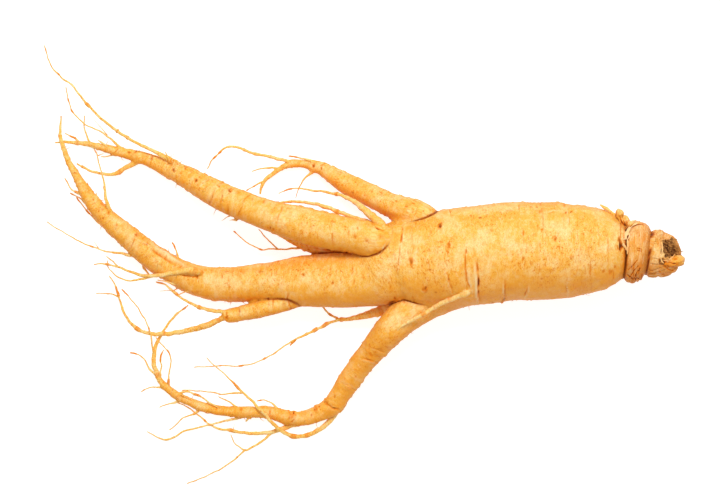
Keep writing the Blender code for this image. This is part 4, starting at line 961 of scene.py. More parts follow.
def keep_largest_island(mesh):
    """Drops the scraps that the remesh leaves of tubes that stand apart."""
    edges = np.empty(len(mesh.edges) * 2, int)
    mesh.edges.foreach_get("vertices", edges)
    first, second = edges.reshape(-1, 2).T
    label = np.arange(len(mesh.vertices))
    changed = True
    while changed:
        lowest = np.minimum(label[first], label[second])
        new = label.copy()
        np.minimum.at(new, first, lowest)
        np.minimum.at(new, second, lowest)
        new = new[new]
        changed = not np.array_equal(new, label)
        label = new
    scraps = np.flatnonzero(label != np.bincount(label).argmax())
    with editing(mesh) as shape:
        bmesh.ops.delete(shape, geom=[shape.verts[i] for i in scraps], context="VERTS")


def refine(mesh, chosen):
    """Splits the faces round the chosen corners in four."""
    with editing(mesh) as shape:
        edges = [edge for edge in shape.edges if chosen[edge.verts[0].index] and chosen[edge.verts[1].index]]
        bmesh.ops.subdivide_edges(shape, edges=edges, cuts=1, use_grid_fill=True)
        bmesh.ops.triangulate(shape, faces=[face for face in shape.faces if len(face.verts) > 4])


def distance_to_line(points, line):
    """Distance from points in the plane to a broken line, the share travelled along it, and which side."""
    line = np.array(line, float)
    spans = np.diff(line, axis=0)
    lengths = np.linalg.norm(spans, axis=1)
    best = np.full(len(points), np.inf)
    share = np.zeros(len(points))
    side = np.ones(len(points))
    for start, span, length, passed in zip(line, spans, lengths, travel(line)):
        away = points - start
        t = np.clip(away @ span / length**2, 0.0, 1.0)
        distance = np.linalg.norm(away - t[:, None] * span, axis=1)
        closer = distance < best
        best = np.where(closer, distance, best)
        share = np.where(closer, (passed + t * length) / lengths.sum(), share)
        side = np.where(closer, np.sign(away[:, 0] * span[1] - away[:, 1] * span[0]), side)
    return best, share, side


def by_line(drawn, line, margin):
    """Which drawn points are within a margin of the box round a line."""
    low, high = np.min(line, axis=0) - margin, np.max(line, axis=0) + margin
    return np.all((drawn > low) & (drawn < high), axis=1)


def near_marks(points):
    """Which points lie close to a listed mark."""
    drawn = points[:, :2] / PLACE
    close = np.zeros(len(points), bool)
    for line, width, *_ in CRACKS:
        found = np.flatnonzero(by_line(drawn, line, 1.0))
        close[found] |= distance_to_line(drawn[found], line)[0] < width * CRACK_REACH
    for x, y, radius, _, _ in PITS:
        close |= np.hypot(drawn[:, 0] - x, drawn[:, 1] - y) < radius * PIT_REACH
    return close


def drawn_marks(points, facing_up):
    """Height, rust and paleness that the listed marks give each point."""
    drawn = points[:, :2] / PLACE
    height, rust, pale = np.zeros((3, len(points)))
    wobble = 0.16 * lattice_noise(points / (1.1 * PLACE), 5)
    bends = [lattice_noise(points / (2.4 * PLACE), seed) for seed in (6, 8)]
    bent = drawn + 0.34 * np.column_stack(bends)
    broken = 0.72 + 0.5 * lattice_noise(points / (1.7 * PLACE), 10)
    for line, width, depth, lip, lip_side, dark in CRACKS:
        near = np.flatnonzero(by_line(drawn, line, 2.0) & facing_up)
        distance, share, side = distance_to_line(bent[near], line)
        distance = np.maximum(distance + wobble[near] * width * 3, 0.0)
        ends = np.sin(np.pi * np.clip(share, 0.02, 0.98)) ** 0.6
        groove = hump(distance, width) * ends * broken[near]
        ridge = hump(distance - 2.2 * width, width) * (side == lip_side) * ends
        height[near] += (lip * ridge - depth * groove) * PLACE
        rust[near] = np.maximum(rust[near], groove**1.3 * dark)
        pale[near] = np.maximum(pale[near], ridge * min(1.0, lip * 2.6))
    for x, y, radius, depth, dark in PITS:
        near = np.flatnonzero((np.hypot(drawn[:, 0] - x, drawn[:, 1] - y) < radius * 2.4) & facing_up)
        away = np.hypot((drawn[near, 0] - x) * 1.2, (drawn[near, 1] - y) * 0.85) / radius
        ragged = lattice_noise(points[near] * np.array([1.6, 0.9, 0.9]) / (radius * 0.6 * PLACE), 9)
        away = away + 0.50 * ragged
        hollow = 1 - fade(away, 0.0, 0.85)
        halo = 1 - fade(away, 0.4, 1.5)
        height[near] -= depth * hollow * PLACE
        rust[near] = np.maximum(rust[near], dark * (0.28 * halo + 0.72 * hollow))
    return height, rust, pale


def chance_rings(straight, seed):
    """Height and rust of the part rings that chance places along the limbs."""
    rng = np.random.default_rng(seed)
    height, rust = np.zeros((2, len(straight)))
    angle = np.arctan2(straight[:, 2], straight[:, 1])
    for index, (_, stations, *_) in enumerate(LIMBS):
        start = LIMB_OFFSET * index * PLACE
        end = start + Route(thick_part(stations)).arc[-1]
        for _ in range(int((end - start) / (10 * PLACE) * CHANCE_RINGS_PER_CM)):
            arc = rng.uniform(start, end)
            middle = rng.uniform(-np.pi, np.pi)
            spread = rng.uniform(0.25, 1.1)
            width = rng.uniform(0.16, 0.30) * PLACE
            depth = rng.uniform(0.05, 0.20) * PLACE
            tilt = rng.normal(0.0, 0.5) * PLACE
            near = np.flatnonzero(np.abs(straight[:, 0] - arc) < 3 * PLACE)
            turn = np.angle(np.exp(1j * (angle[near] - middle)))
            present = np.clip(1 - (turn / spread) ** 2, 0.0, 1.0)
            offset = straight[near, 0] - arc - tilt * np.sin(turn * 1.7)
            groove = hump(offset, width) * present
            ridge = hump(offset - 2 * width, 1.6 * width) * present
            height[near] += depth * (0.5 * ridge - groove)
            rust[near] = np.maximum(rust[near], groove * depth / (0.32 * PLACE))
    return height, rust


def relief(points, straight, facing_up, seed):
    """How far the skin stands out at each point, and where it is rusty or pale."""
    height, rust, pale = drawn_marks(points, facing_up)
    more, more_rust = chance_rings(straight, seed)
    height += more
    for tall, size, lump_seed in LUMPS:
        height += tall * PLACE * lattice_noise(points / (size * PLACE), lump_seed)
    ripple = lattice_noise(straight / RIPPLE_SIZE / PLACE, 3)
    slim = fade(-points[:, 0] / PLACE, 50.0, 90.0) + fade(-points[:, 1] / PLACE, 22.0, 36.0)
    slim = np.clip(slim, 0, 1)
    height += (RIPPLE_HEIGHT + SLIM_RIPPLE_HEIGHT * slim) * PLACE * ripple
    pale = np.maximum(pale, 0.30 * slim * fade(ripple, 0.35, 0.9))
    pimples = lattice_noise(straight / PIMPLE_SIZE / PLACE, 4)
    height += PIMPLE_HEIGHT * PLACE * fade(pimples, 0.26, 0.80)
    for layer in (more_rust, 0.22 * slim * fade(-ripple, 0.45, 0.9), 0.20 * fade(pimples, 0.45, 0.85)):
        rust = np.maximum(rust, layer)
    return height, rust, pale


def skin_flank(outward):
    """Painted shade: 0 where the skin faces the lamp, up to 1 on its sides, below and in a tilted band."""
    flank = 1 - np.clip((outward @ np.array(PAINTED_LIGHT_WAY) - 0.10) / 0.88, 0.0, 1.0)
    return np.maximum(flank, SHADE_BAND_STRENGTH * hump(outward[:, 2] - SHADE_BAND_TILT, SHADE_BAND_WIDTH))


def make_skin(sizes):
    """The wrinkled skin of the torso, legs and arms, as one mesh."""
    skin = Skin()
    made = joined_tubes("root_skin", [limb[0] for limb in skin.limbs], ROUGH_SIDES)
    remesh = made.modifiers.new("one_skin", "REMESH")
    remesh.mode = "VOXEL"
    remesh.voxel_size = sizes.grain
    bake_modifiers(made)
    mesh = made.data
    keep_largest_island(mesh)
    set_corners(mesh, skin.settle(corners_of(mesh), MOVES))
    refine(mesh, near_marks(corners_of(mesh)))
    points = skin.settle(corners_of(mesh), FINE_MOVES)
    set_corners(mesh, points)
    _, outward, straight, crease = skin.read(points)
    height, rust, pale = relief(points, straight, outward[:, 2] > 0.02, sizes.seed)
    # The groove against the neck is marked as a crease, and rust runs onto the shoulder beside it: painted
    # shade.
    shoulder = (points[:, 0] - SHOULDER_SLANT * points[:, 1]) / PLACE
    crease = np.maximum(crease, fade(shoulder, 37.3, 38.3))
    rust = np.maximum(rust, 0.34 * fade(shoulder, 35.8, 38.0))
    points = points + corner_normals(mesh) * (height * sizes.relief)[:, None]
    set_corners(mesh, points)
    lift_to_floor(mesh)
    leftward, downward = -points[:, 0] / PLACE, -points[:, 1] / PLACE
    # Painted shade from the way the skin faces, with the legs and arms given a more tanned tone on top of it.
    flank = skin_flank(outward)
    flank += LEG_TAN * fade(leftward, 36.0, 70.0) + ARM_TAN * fade(downward, 18.0, 36.0)
    hairy = fade(leftward, 60.0, 115.0) + 0.25 * fade(downward, 6.0, 14.0)
    store(mesh, straight=straight, crease=crease, rust=rust, pale=pale, flank=flank, hairy=hairy)
    mesh.shade_smooth()
    return made


def swept_piece(name, route, sides):
    """A fine tube round a route, with the straightened place of each corner in drawn millimetres."""
    made = joined_tubes(name, [route], sides)
    along = np.repeat(route.arc, sides)
    radius = np.repeat(route.radii, sides)
    angle = np.tile(2 * np.pi * np.arange(sides) / sides, len(route.arc))
    return made, np.column_stack([along, radius * np.cos(angle), radius * np.sin(angle)]) / PLACE


def neck_marks(points, straight, on_top):
    """Height, rust and paleness of the neck's strands, folds and fine lines."""
    x = points[:, 0] / PLACE
    lower = fade(-points[:, 1] / PLACE, 0.5, 7.5)
    strands = lattice_noise(straight * np.array([3.2, 0.22, 0.22]), 21)
    fine_strands = lattice_noise(straight * np.array([6.5, 0.35, 0.35]), 22)
    lumps = lattice_noise(points / (3.4 * PLACE), 23)
    small = lattice_noise(points / (1.1 * PLACE), 24)
    folds = np.abs(lattice_noise(straight * np.array([0.35, 1.1, 1.1]), 25))
    first_collar = window(x, 39.6, 45.0, 0.4)
    second_collar = window(x, 46.8, 57.0, 0.4)
    height = 0.30 * lumps + 0.07 * small
    height += first_collar * (0.08 + 0.16 * lower) * strands + 0.05 * fine_strands
    height += second_collar * (0.34 + 0.20 * lower) * fade(folds, 0.0, 0.3)
    # The first collar's strands are painted rustier towards its lower side, away from the lamp, and paler only
    # on its upper side: painted shade and painted highlight over the strands' own rust.
    rust = first_collar * (0.85 * lower * fade(strands, -0.05, 0.5) + 0.26 * fade(-strands, 0.0, 0.8))
    rust += second_collar * (0.12 + 0.18 * lower) * fade(folds, 0.22, 0.0)
    pale = 0.55 * first_collar * (1 - lower) * fade(fine_strands, 0.1, 0.8)
    pale += 0.35 * second_collar * fade(small, 0.1, 0.8)
    for line, depth, dark in NECK_LINES:
        dash = hump(distance_to_line(points[:, :2] / PLACE, line)[0], NECK_LINE_WIDTH) * on_top
        height -= depth * dash
        rust += dark * dash
    return height, np.clip(rust, 0, 1), pale


def lean_rings(points, x):
    """Leans the neck's rings, which stand upright at first, over to their real slant."""
    slant = START_SLANT + (COLLAR_SLANT - START_SLANT) * fade(x, 38.5, 45.0)
    aside = points[:, 1] - 0.4 * PLACE
    slant *= 1 - np.where(aside > 0, END_SLANT_UPPER, END_SLANT_LOWER) * fade(x, 48.0, 54.5)
    points[:, 0] += slant * aside


def tear_scar(points):
    """Sinks the torn scar of the stem and the pit beside it, and says where each one is."""
    middle = np.array(SCAR_MIDDLE) * PLACE
    way = np.array(SCAR_WAY) / np.linalg.norm(SCAR_WAY)
    away = points - middle
    proud = away @ way
    across = np.linalg.norm(away - proud[:, None] * way, axis=1) / PLACE
    ragged = SCAR_RADIUS + SCAR_RAGGED * lattice_noise(points / (1.5 * PLACE), 26)
    inside = 1 - fade(across, ragged - 0.5, ragged + 0.1)
    torn = 0.30 * lattice_noise(points * np.array([1.3, 2.6, 1.3]) / PLACE, 27)
    sunk = np.where(inside > 0, np.minimum(proud, (torn - SCAR_DEPTH) * inside * PLACE), proud)
    points += (sunk - proud)[:, None] * inside[:, None] * way
    from_pit = np.hypot(points[:, 0] / PLACE - SCAR_PIT[0], points[:, 1] / PLACE - SCAR_PIT[1])
    hole = (1 - fade(from_pit, 0.5, 1.5)) * (points[:, 2] > middle[2] - 3 * PLACE)
    points[:, 2] -= SCAR_PIT_DEPTH * PLACE * hole
    return inside, hole


def make_neck(sizes):
    """The neck: two slanting collars, the groove between them, and the torn scar of the stem."""
    route = Route(NECK, NECK_STEP)
    made, straight = swept_piece("neck", route, NECK_SIDES)
    mesh = made.data
    points = corners_of(mesh)
    x = points[:, 0] / PLACE
    height, rust, pale = neck_marks(points, straight, points[:, 2] > route.centres[0, 2])
    normals = corner_normals(mesh)
    points = points + normals * (height * sizes.relief * PLACE)[:, None]
    lean_rings(points, x)
    inside, hole = tear_scar(points)
    set_corners(mesh, points)
    # Painted shade in the groove against the shoulder and in the groove between the collars.
    crease = np.clip(1 - fade(x, 38.1, 38.8) + hump(x - GROOVE_AT, GROOVE_WIDTH), 0, 1)
    scar = np.clip(inside * 1.25 + hole, 0, 1)
    # The neck's painted shade comes from the way it faces, as on the skin.
    store(
        mesh, straight=straight * PLACE, crease=crease, rust=rust, pale=pale, scar=scar, hairy=inside,
        flank=skin_flank(normals),
    )
    mesh.shade_smooth()
    return made


def make_buds(sizes):
    """The two-lobed shoot bud on the shoulder, its bract, and the blunt bud beside the scar."""
    pieces = []
    for number, (name, stations) in enumerate(BUDS.items()):
        made, straight = swept_piece(name, Route(stations, BUD_STEP), BUD_SIDES)
        mesh = made.data
        points = corners_of(mesh)
        ridges = np.abs(lattice_noise(straight * np.array([0.25, 1.6, 1.6]) + 7 * number, 31))
        lumps = lattice_noise(points / (1.3 * PLACE), 32)
        share = straight[:, 0] / straight[:, 0].max()
        height = 0.26 * lumps - 0.55 * ridges * (1 - fade(share, 0.40, 0.95))
        set_corners(mesh, points + corner_normals(mesh) * (height * sizes.relief * PLACE)[:, None])
        rust = fade(ridges, 0.15, 0.55) * (1 - fade(share, 0.3, 0.65)) + 0.4 * (1 - fade(share, 0.05, 0.45))
        # The lobes are painted pale towards their tips as a painted highlight, and rusty towards their base.
        store(
            mesh, straight=straight * PLACE, rust=np.clip(rust, 0, 1), pale=fade(share, 0.6, 1.0) * 0.45,
            flank=skin_flank(corner_normals(mesh)),
        )
        mesh.shade_smooth()
        pieces.append(made)
    return pieces


def scale_rows(number, line, half_width, curl):
    """The rows of corners along one curled strip, five on its top and five below, in drawn millimetres."""
    centres = smooth_route([point + (half_width,) for point in line], SCALE_STEP)[:, :3]
    forward = np.gradient(centres, axis=0)
    forward /= np.linalg.norm(forward, axis=1)[:, None]
    across = np.cross(forward, (0.0, 0.0, 1.0))
    across /= np.linalg.norm(across, axis=1)[:, None]
    up = np.cross(across, forward)
    share = np.linspace(0, 1, len(centres))
    width = half_width * (0.25 + 0.75 * np.sin(np.pi * np.clip(share * 0.9 + 0.08, 0, 1)) ** 0.6)
    width *= 1 + 0.35 * lattice_noise(np.column_stack([share * 9, share * 0 + number, share * 0]), 41)
    rows = []
    for side in (1, -1):
        for k in range(SCALE_CROSS):
            aside = 2 * k / (SCALE_CROSS - 1) - 1
            lift = curl * aside**2 + 0.5 * SCALE_THICKNESS * side * (1 - 0.6 * abs(aside))
            lift = lift + 0.14 * lattice_noise(centres * 1.4 + 3 * k, 42)
            rows.append(centres + across * (width * aside)[:, None] + up * lift[:, None])
    return rows


def make_scales():
    """The dried papery scales round the neck, as thin curled strips."""
    corners, faces = [], []
    for number, scale in enumerate(SCALES):
        rows = scale_rows(number, *scale)
        count = len(rows[0])
        start = len(corners)
        corners += np.vstack(rows).tolist()
        # The rows run along the strip's top and back below it, so neighbours in this ring share faces.
        ring = list(range(SCALE_CROSS)) + list(range(2 * SCALE_CROSS - 1, SCALE_CROSS - 1, -1))
        for this, following in zip(ring, ring[1:] + ring[:1]):
            first, second = start + this * count, start + following * count
            faces += [[first + i, second + i, second + i + 1, first + i + 1] for i in range(count - 1)]
        for end in (0, count - 1):
            for k in range(SCALE_CROSS - 1):
                ends = (k, k + 1, SCALE_CROSS + k + 1, SCALE_CROSS + k)
                faces.append([start + row * count + end for row in ends])
    made = new_piece("papery_scales", place(corners), [], faces)
    with editing(made.data) as shape:
        bmesh.ops.recalc_face_normals(shape, faces=shape.faces)
    rounder = made.modifiers.new("rounder", "SUBSURF")
    rounder.levels = 1
    rounder.render_levels = 1
    bake_modifiers(made)
    made.data.shade_smooth()
    return made


def rootlet_groups():
    """The rootlets of each limb, with the limb's own thin tail first."""
    groups = {home: [thin_part(stations)] for home, stations in TAILS.items()}
    for home, stations in rootlets():
        groups[home].append(stations)
    return groups


def true_radius(table, travelled):
    """The rootlet's own thickness: it thins out to its tip, where the solid stays at its least radius."""
    thick = np.flatnonzero(table[:, 3] > SOLID_LEAST + 0.02)
    start = min(travelled[thick[-1]] if len(thick) else 0.0, travelled[-1] * (1 - BLUNT_SHARE))
    share = np.clip((travelled - start) / (travelled[-1] - start), 0.0, 1.0)
    return table[:, 3] * (1 - (1 - TIP_SHARE) * share**0.7)


def rootlet_lines(name, members):
    """Chains of edges along the rootlets, with their thickness, and how free each point is to wander."""
    corners, edges, thickness, along, free, rust = [], [], [], [], [], []
    for number, stations in enumerate(members):
        table = smooth_route(stations, ROOTLET_STEP)
        travelled = travel(table)
        radius = true_radius(table, travelled)
        start = len(corners)
        corners += table[:, :3].tolist()
        edges += [(start + i, start + i + 1) for i in range(len(table) - 1)]
        knob = fade(lattice_noise(table[:, :3] / KNOB_LENGTH + number, 51), 0.30, 0.62)
        knob *= fade(travelled, 0.3, 1.5)
        thickness.append(radius * (1 + KNOB_SIZE * knob * fade(0.9 - radius, 0.0, 0.5)))
        dry = 0.20 * (1 - fade(travelled, 0.0, 1.6)) + 0.20 * (1 - fade(radius, 0.15, 0.38)) + 0.28 * knob
        rust.append(np.clip(dry, 0.0, 0.34))
        along.append(travelled + 40.0 * number)
        free.append(fade(travelled, 0.5, 4.0))
    made = new_piece(name, place(corners), edges, [])
    store(
        made.data, thickness=np.concatenate(thickness) * PLACE, along=np.concatenate(along) * PLACE,
        free=np.concatenate(free), rust=np.concatenate(rust),
    )
    return made


def add(tree, kind, inputs=(), **settings):
    """A node with its settings. Its inputs are plain values or the outputs of other nodes."""
    made = tree.nodes.new(kind)
    for name, value in settings.items():
        setattr(made, name, value)
    for key, value in dict(inputs).items():
        if isinstance(value, bpy.types.NodeSocket):
            tree.links.new(value, made.inputs[key])
        else:
            made.inputs[key].default_value = value
    return made


def first_of(tree, kind, inputs=(), **settings):
    """The first output of a new node."""
    return add(tree, kind, inputs, **settings).outputs[0]


def new_tree(name, kind, inputs, outputs):
    """A node group. Each input has a default number or the kind of its socket, and each output a kind."""
    tree = bpy.data.node_groups.new(name, kind)
    for label, value in inputs.items():
        socket_kind = value if isinstance(value, str) else type(value).__name__.capitalize()
        socket = tree.interface.new_socket(label, in_out="INPUT", socket_type="NodeSocket" + socket_kind)
        if not isinstance(value, str):
            socket.default_value = value
    for label, socket_kind in outputs.items():
        tree.interface.new_socket(label, in_out="OUTPUT", socket_type="NodeSocket" + socket_kind)
    return tree, tree.nodes.new("NodeGroupInput").outputs, tree.nodes.new("NodeGroupOutput")


def shared_tree(name, maker):
    """The node group of that name, built once."""
    return bpy.data.node_groups.get(name) or maker(name)


def maths(tree, operation, first, second=0.0, third=0.0):
    return first_of(tree, "ShaderNodeMath", {0: first, 1: second, 2: third}, operation=operation)


def times(tree, first, *others):
    """The product of masks and numbers."""
    for other in others:
        first = maths(tree, "MULTIPLY", first, other)
    return first


def vector_maths(tree, operation, first, second):
    return first_of(tree, "ShaderNodeVectorMath", {0: first, 1: second}, operation=operation)


def scaled(tree, vector, factor):
    """A vector made longer by a factor."""
    return first_of(tree, "ShaderNodeVectorMath", {0: vector, "Scale": factor}, operation="SCALE")


def inverse(tree, size):
    """How often a pattern of that size repeats in a metre."""
    return maths(tree, "DIVIDE", 1.0, size)


def between(tree, value, low, high):
    """0 at low, 1 at high, and smooth between."""
    inputs = {"Value": value, "From Min": low, "From Max": high}
    return first_of(tree, "ShaderNodeMapRange", inputs, interpolation_type="SMOOTHSTEP")


def noise(tree, vector, scale, detail, roughness):
    inputs = {"Vector": vector, "Scale": scale, "Detail": detail, "Roughness": roughness}
    return add(tree, "ShaderNodeTexNoise", inputs).outputs["Fac"]


def seeded_noise(tree, vector, seed, scale, detail):
    """Noise whose seed can be changed."""
    inputs = {"Vector": vector, "W": seed, "Scale": scale, "Detail": detail}
    return add(tree, "ShaderNodeTexNoise", inputs, noise_dimensions="4D").outputs


def blend_colour(tree, share, first, second):
    """The first colour with a share of the second over it."""
    inputs = {0: share}
    for index, value in ((6, first), (7, second)):
        inputs[index] = value if isinstance(value, bpy.types.NodeSocket) else tuple(value)[:3] + (1.0,)
    return add(tree, "ShaderNodeMix", inputs, data_type="RGBA").outputs[2]


def named(tree, name):
    """A number kept for each corner, inside a geometry tree."""
    return first_of(tree, "GeometryNodeInputNamedAttribute", {"Name": name}, data_type="FLOAT")


def tube_along(tree, curve, profile, thickness):
    """A closed tube along a curve."""
    inputs = {"Curve": curve, "Profile Curve": profile, "Scale": thickness, "Fill Caps": True}
    return first_of(tree, "GeometryNodeCurveToMesh", inputs)


def end_tree(tree, given, result, tube, straight):
    """Ends a geometry tree: the straightened place is kept, and one smooth mesh gets its material."""
    stored = first_of(
        tree, "GeometryNodeStoreNamedAttribute", {"Geometry": tube, "Name": "straight", "Value": straight},
        data_type="FLOAT_VECTOR", domain="POINT",
    )
    smooth = first_of(tree, "GeometryNodeSetShadeSmooth", {"Geometry": stored, "Shade Smooth": True})
    whole = first_of(tree, "GeometryNodeRealizeInstances", {"Geometry": smooth})
    finished = first_of(tree, "GeometryNodeSetMaterial", {"Geometry": whole, "Material": given["Material"]})
    tree.links.new(finished, result.inputs["Geometry"])
    return tree


def hair_tree(name):
    """Sows short curved hairs over a surface, thickest where the surface is marked as hairy."""
    tree, given, result = new_tree(
        name,
        "GeometryNodeTree",
        {
            "Geometry": "Geometry", "Density": 10000.0, "Length": 0.002, "Thickness": 0.0001, "Way": "Vector",
            "Rise": 1.0, "Spread": 0.8, "Seed": 0, "Material": "Material",
        },
        {"Geometry": "Geometry"},
    )
    density = times(tree, given["Density"], named(tree, "hairy"))
    sown = add(
        tree, "GeometryNodeDistributePointsOnFaces",
        {"Mesh": given["Geometry"], "Density": density, "Seed": given["Seed"]},
    )
    chance = first_of(
        tree, "FunctionNodeRandomValue", {0: (-1.0, -1.0, -1.0), 1: (1.0, 1.0, 1.0), "Seed": given["Seed"]},
        data_type="FLOAT_VECTOR",
    )
    lean = vector_maths(tree, "ADD", scaled(tree, sown.outputs["Normal"], given["Rise"]), given["Way"])
    lean = vector_maths(tree, "ADD", lean, scaled(tree, chance, given["Spread"]))
    turned = first_of(tree, "FunctionNodeAlignRotationToVector", {"Vector": lean}, axis="Z")
    arc = first_of(
        tree, "GeometryNodeCurveQuadraticBezier",
        {"Resolution": 6, "Start": (0.0, 0.0, -0.1), "Middle": (0.0, 0.0, 0.5), "End": (0.45, 0.0, 0.9)},
    )
    inputs = {2: 0.25, 3: 1.0, "Seed": given["Seed"]}
    size = add(tree, "FunctionNodeRandomValue", inputs, data_type="FLOAT").outputs[1]
    placed = first_of(
        tree, "GeometryNodeInstanceOnPoints",
        {
            "Points": sown.outputs["Points"], "Instance": arc, "Rotation": turned,
            "Scale": times(tree, size, given["Length"]),
        },
    )
    curves = first_of(tree, "GeometryNodeRealizeInstances", {"Geometry": placed})
    factor = tree.nodes.new("GeometryNodeSplineParameter").outputs["Factor"]
    taper = times(tree, given["Thickness"], maths(tree, "MULTIPLY_ADD", factor, -0.7, 1.0))
    profile = first_of(tree, "GeometryNodeCurvePrimitiveCircle", {"Resolution": 4, "Radius": 1.0})
    tube = tube_along(tree, curves, profile, taper)
    return end_tree(tree, given, result, tube, first_of(tree, "GeometryNodeInputPosition"))


def rootlet_tree(name):
    """Turns chains of edges into knobbly rootlets."""
    tree, given, result = new_tree(
        name,
        "GeometryNodeTree",
        {
            "Geometry": "Geometry", "Sides": 8, "Kink": 0.0, "Kink Length": 0.003, "Knots": 0.3,
            "Knot Length": 0.001, "Seed": 0.0, "Material": "Material",
        },
        {"Geometry": "Geometry"},
    )
    position = first_of(tree, "GeometryNodeInputPosition")
    thickness = named(tree, "thickness")
    curve = first_of(tree, "GeometryNodeMeshToCurve", {"Mesh": given["Geometry"]})
    shifted = vector_maths(tree, "ADD", position, (0.13, 0.71, 0.37))
    wander = seeded_noise(tree, shifted, given["Seed"], inverse(tree, given["Kink Length"]), 1.0)["Color"]
    centred = vector_maths(tree, "SUBTRACT", wander, (0.5, 0.5, 0.5))
    offset = scaled(tree, centred, times(tree, given["Kink"], named(tree, "free")))
    curve = first_of(tree, "GeometryNodeSetPosition", {"Geometry": curve, "Offset": offset})
    inputs = {"Resolution": given["Sides"], "Radius": 1.0}
    profile = first_of(tree, "GeometryNodeCurvePrimitiveCircle", inputs)
    capture = add(tree, "GeometryNodeCaptureAttribute", {"Geometry": profile})
    capture.capture_items.new("FLOAT", "turn")
    tree.links.new(tree.nodes.new("GeometryNodeSplineParameter").outputs["Factor"], capture.inputs[1])
    tube = tube_along(tree, curve, capture.outputs[0], thickness)
    knots = seeded_noise(tree, position, given["Seed"], inverse(tree, given["Knot Length"]), 2.0)["Fac"]
    bulge = times(tree, maths(tree, "SUBTRACT", knots, 0.5), given["Knots"], thickness)
    normal = first_of(tree, "GeometryNodeInputNormal")
    inputs = {"Geometry": tube, "Offset": scaled(tree, normal, bulge)}
    tube = first_of(tree, "GeometryNodeSetPosition", inputs)
    angle = times(tree, capture.outputs[1], 2 * math.pi)
    straight = first_of(
        tree, "ShaderNodeCombineXYZ",
        {
            "X": named(tree, "along"),
            "Y": times(tree, thickness, maths(tree, "COSINE", angle)),
            "Z": times(tree, thickness, maths(tree, "SINE", angle)),
        },
    )
    return end_tree(tree, given, result, tube, straight)


def grow(made, tree, values):
    """Runs a geometry tree on an object, keeps the result as its plain mesh and joins it to the root."""
    modifier = made.modifiers.new(tree.name, "NODES")
    modifier.node_group = tree
    for item in tree.interface.items_tree:
        if item.in_out == "INPUT" and item.name in values:
            modifier[item.identifier] = values[item.name]
    bake_modifiers(made)
    lift_to_floor(made.data)
    settle_piece(made)


def mottle_group(name):
    """Broad patches, small clouds, grain and thick-sown areas of a root's skin, each from 0 to 1."""
    tree, given, result = new_tree(
        name,
        "ShaderNodeTree",
        {
            "Vector": "Vector", "Straight": "Vector", "Patch": 0.0065, "Cloud": 0.0017, "Grain": 0.00034,
            "Crowd": 0.013,
        },
        {"Patch": "Float", "Cloud": "Float", "Grain": "Float", "Crowd": "Float"},
    )
    drawn_out = vector_maths(tree, "MULTIPLY", given["Straight"], (1.35, 0.75, 0.75))
    for label, vector, detail, roughness in (
        ("Patch", given["Vector"], 3.0, 0.55), ("Cloud", drawn_out, 5.0, 0.65),
        ("Grain", drawn_out, 3.0, 0.6), ("Crowd", given["Vector"], 2.0, 0.5),
    ):
        value = noise(tree, vector, inverse(tree, given[label]), detail, roughness)
        tree.links.new(between(tree, value, 0.30, 0.70), result.inputs[label])
    return tree


def speck_group(name):
    """Scattered small dots, each of its own size and strength."""
    tree, given, result = new_tree(
        name, "ShaderNodeTree", {"Vector": "Vector", "Spacing": 0.002, "Size": 0.2}, {"Mask": "Float"}
    )
    inputs = {"Vector": given["Vector"], "Scale": 1600.0, "Detail": 2.0}
    ragged = add(tree, "ShaderNodeTexNoise", inputs).outputs["Color"]
    nudge = scaled(tree, vector_maths(tree, "SUBTRACT", ragged, (0.5, 0.5, 0.5)), 0.0007)
    moved = vector_maths(tree, "ADD", given["Vector"], nudge)
    inputs = {"Vector": moved, "Scale": inverse(tree, given["Spacing"])}
    cells = add(tree, "ShaderNodeTexVoronoi", inputs).outputs
    lot = add(tree, "ShaderNodeSeparateColor", {"Color": cells["Color"]}).outputs
    size = times(tree, given["Size"], maths(tree, "ADD", 0.35, lot["Green"]))
    dot = between(tree, cells["Distance"], size, times(tree, size, 0.4))
    strength = maths(tree, "MULTIPLY_ADD", lot["Blue"], 0.75, 0.25)
    tree.links.new(times(tree, dot, strength), result.inputs["Mask"])
    return tree


def fleck_group(name):
    """Irregular flecks of a given width along the limb and length round it."""
    tree, given, result = new_tree(
        name,
        "ShaderNodeTree",
        {"Straight": "Vector", "Width": 0.0005, "Length": 0.0010, "Amount": 0.5},
        {"Mask": "Float", "Height": "Float"},
    )
    round_it = inverse(tree, given["Length"])
    inputs = {"X": inverse(tree, given["Width"]), "Y": round_it, "Z": round_it}
    stretch = first_of(tree, "ShaderNodeCombineXYZ", inputs)
    value = noise(tree, vector_maths(tree, "MULTIPLY", given["Straight"], stretch), 1.0, 3.0, 0.6)
    start = maths(tree, "MULTIPLY_ADD", given["Amount"], -0.30, 0.86)
    mask = between(tree, value, start, maths(tree, "ADD", start, 0.07))
    tree.links.new(mask, result.inputs["Mask"])
    tree.links.new(value, result.inputs["Height"])
    return tree


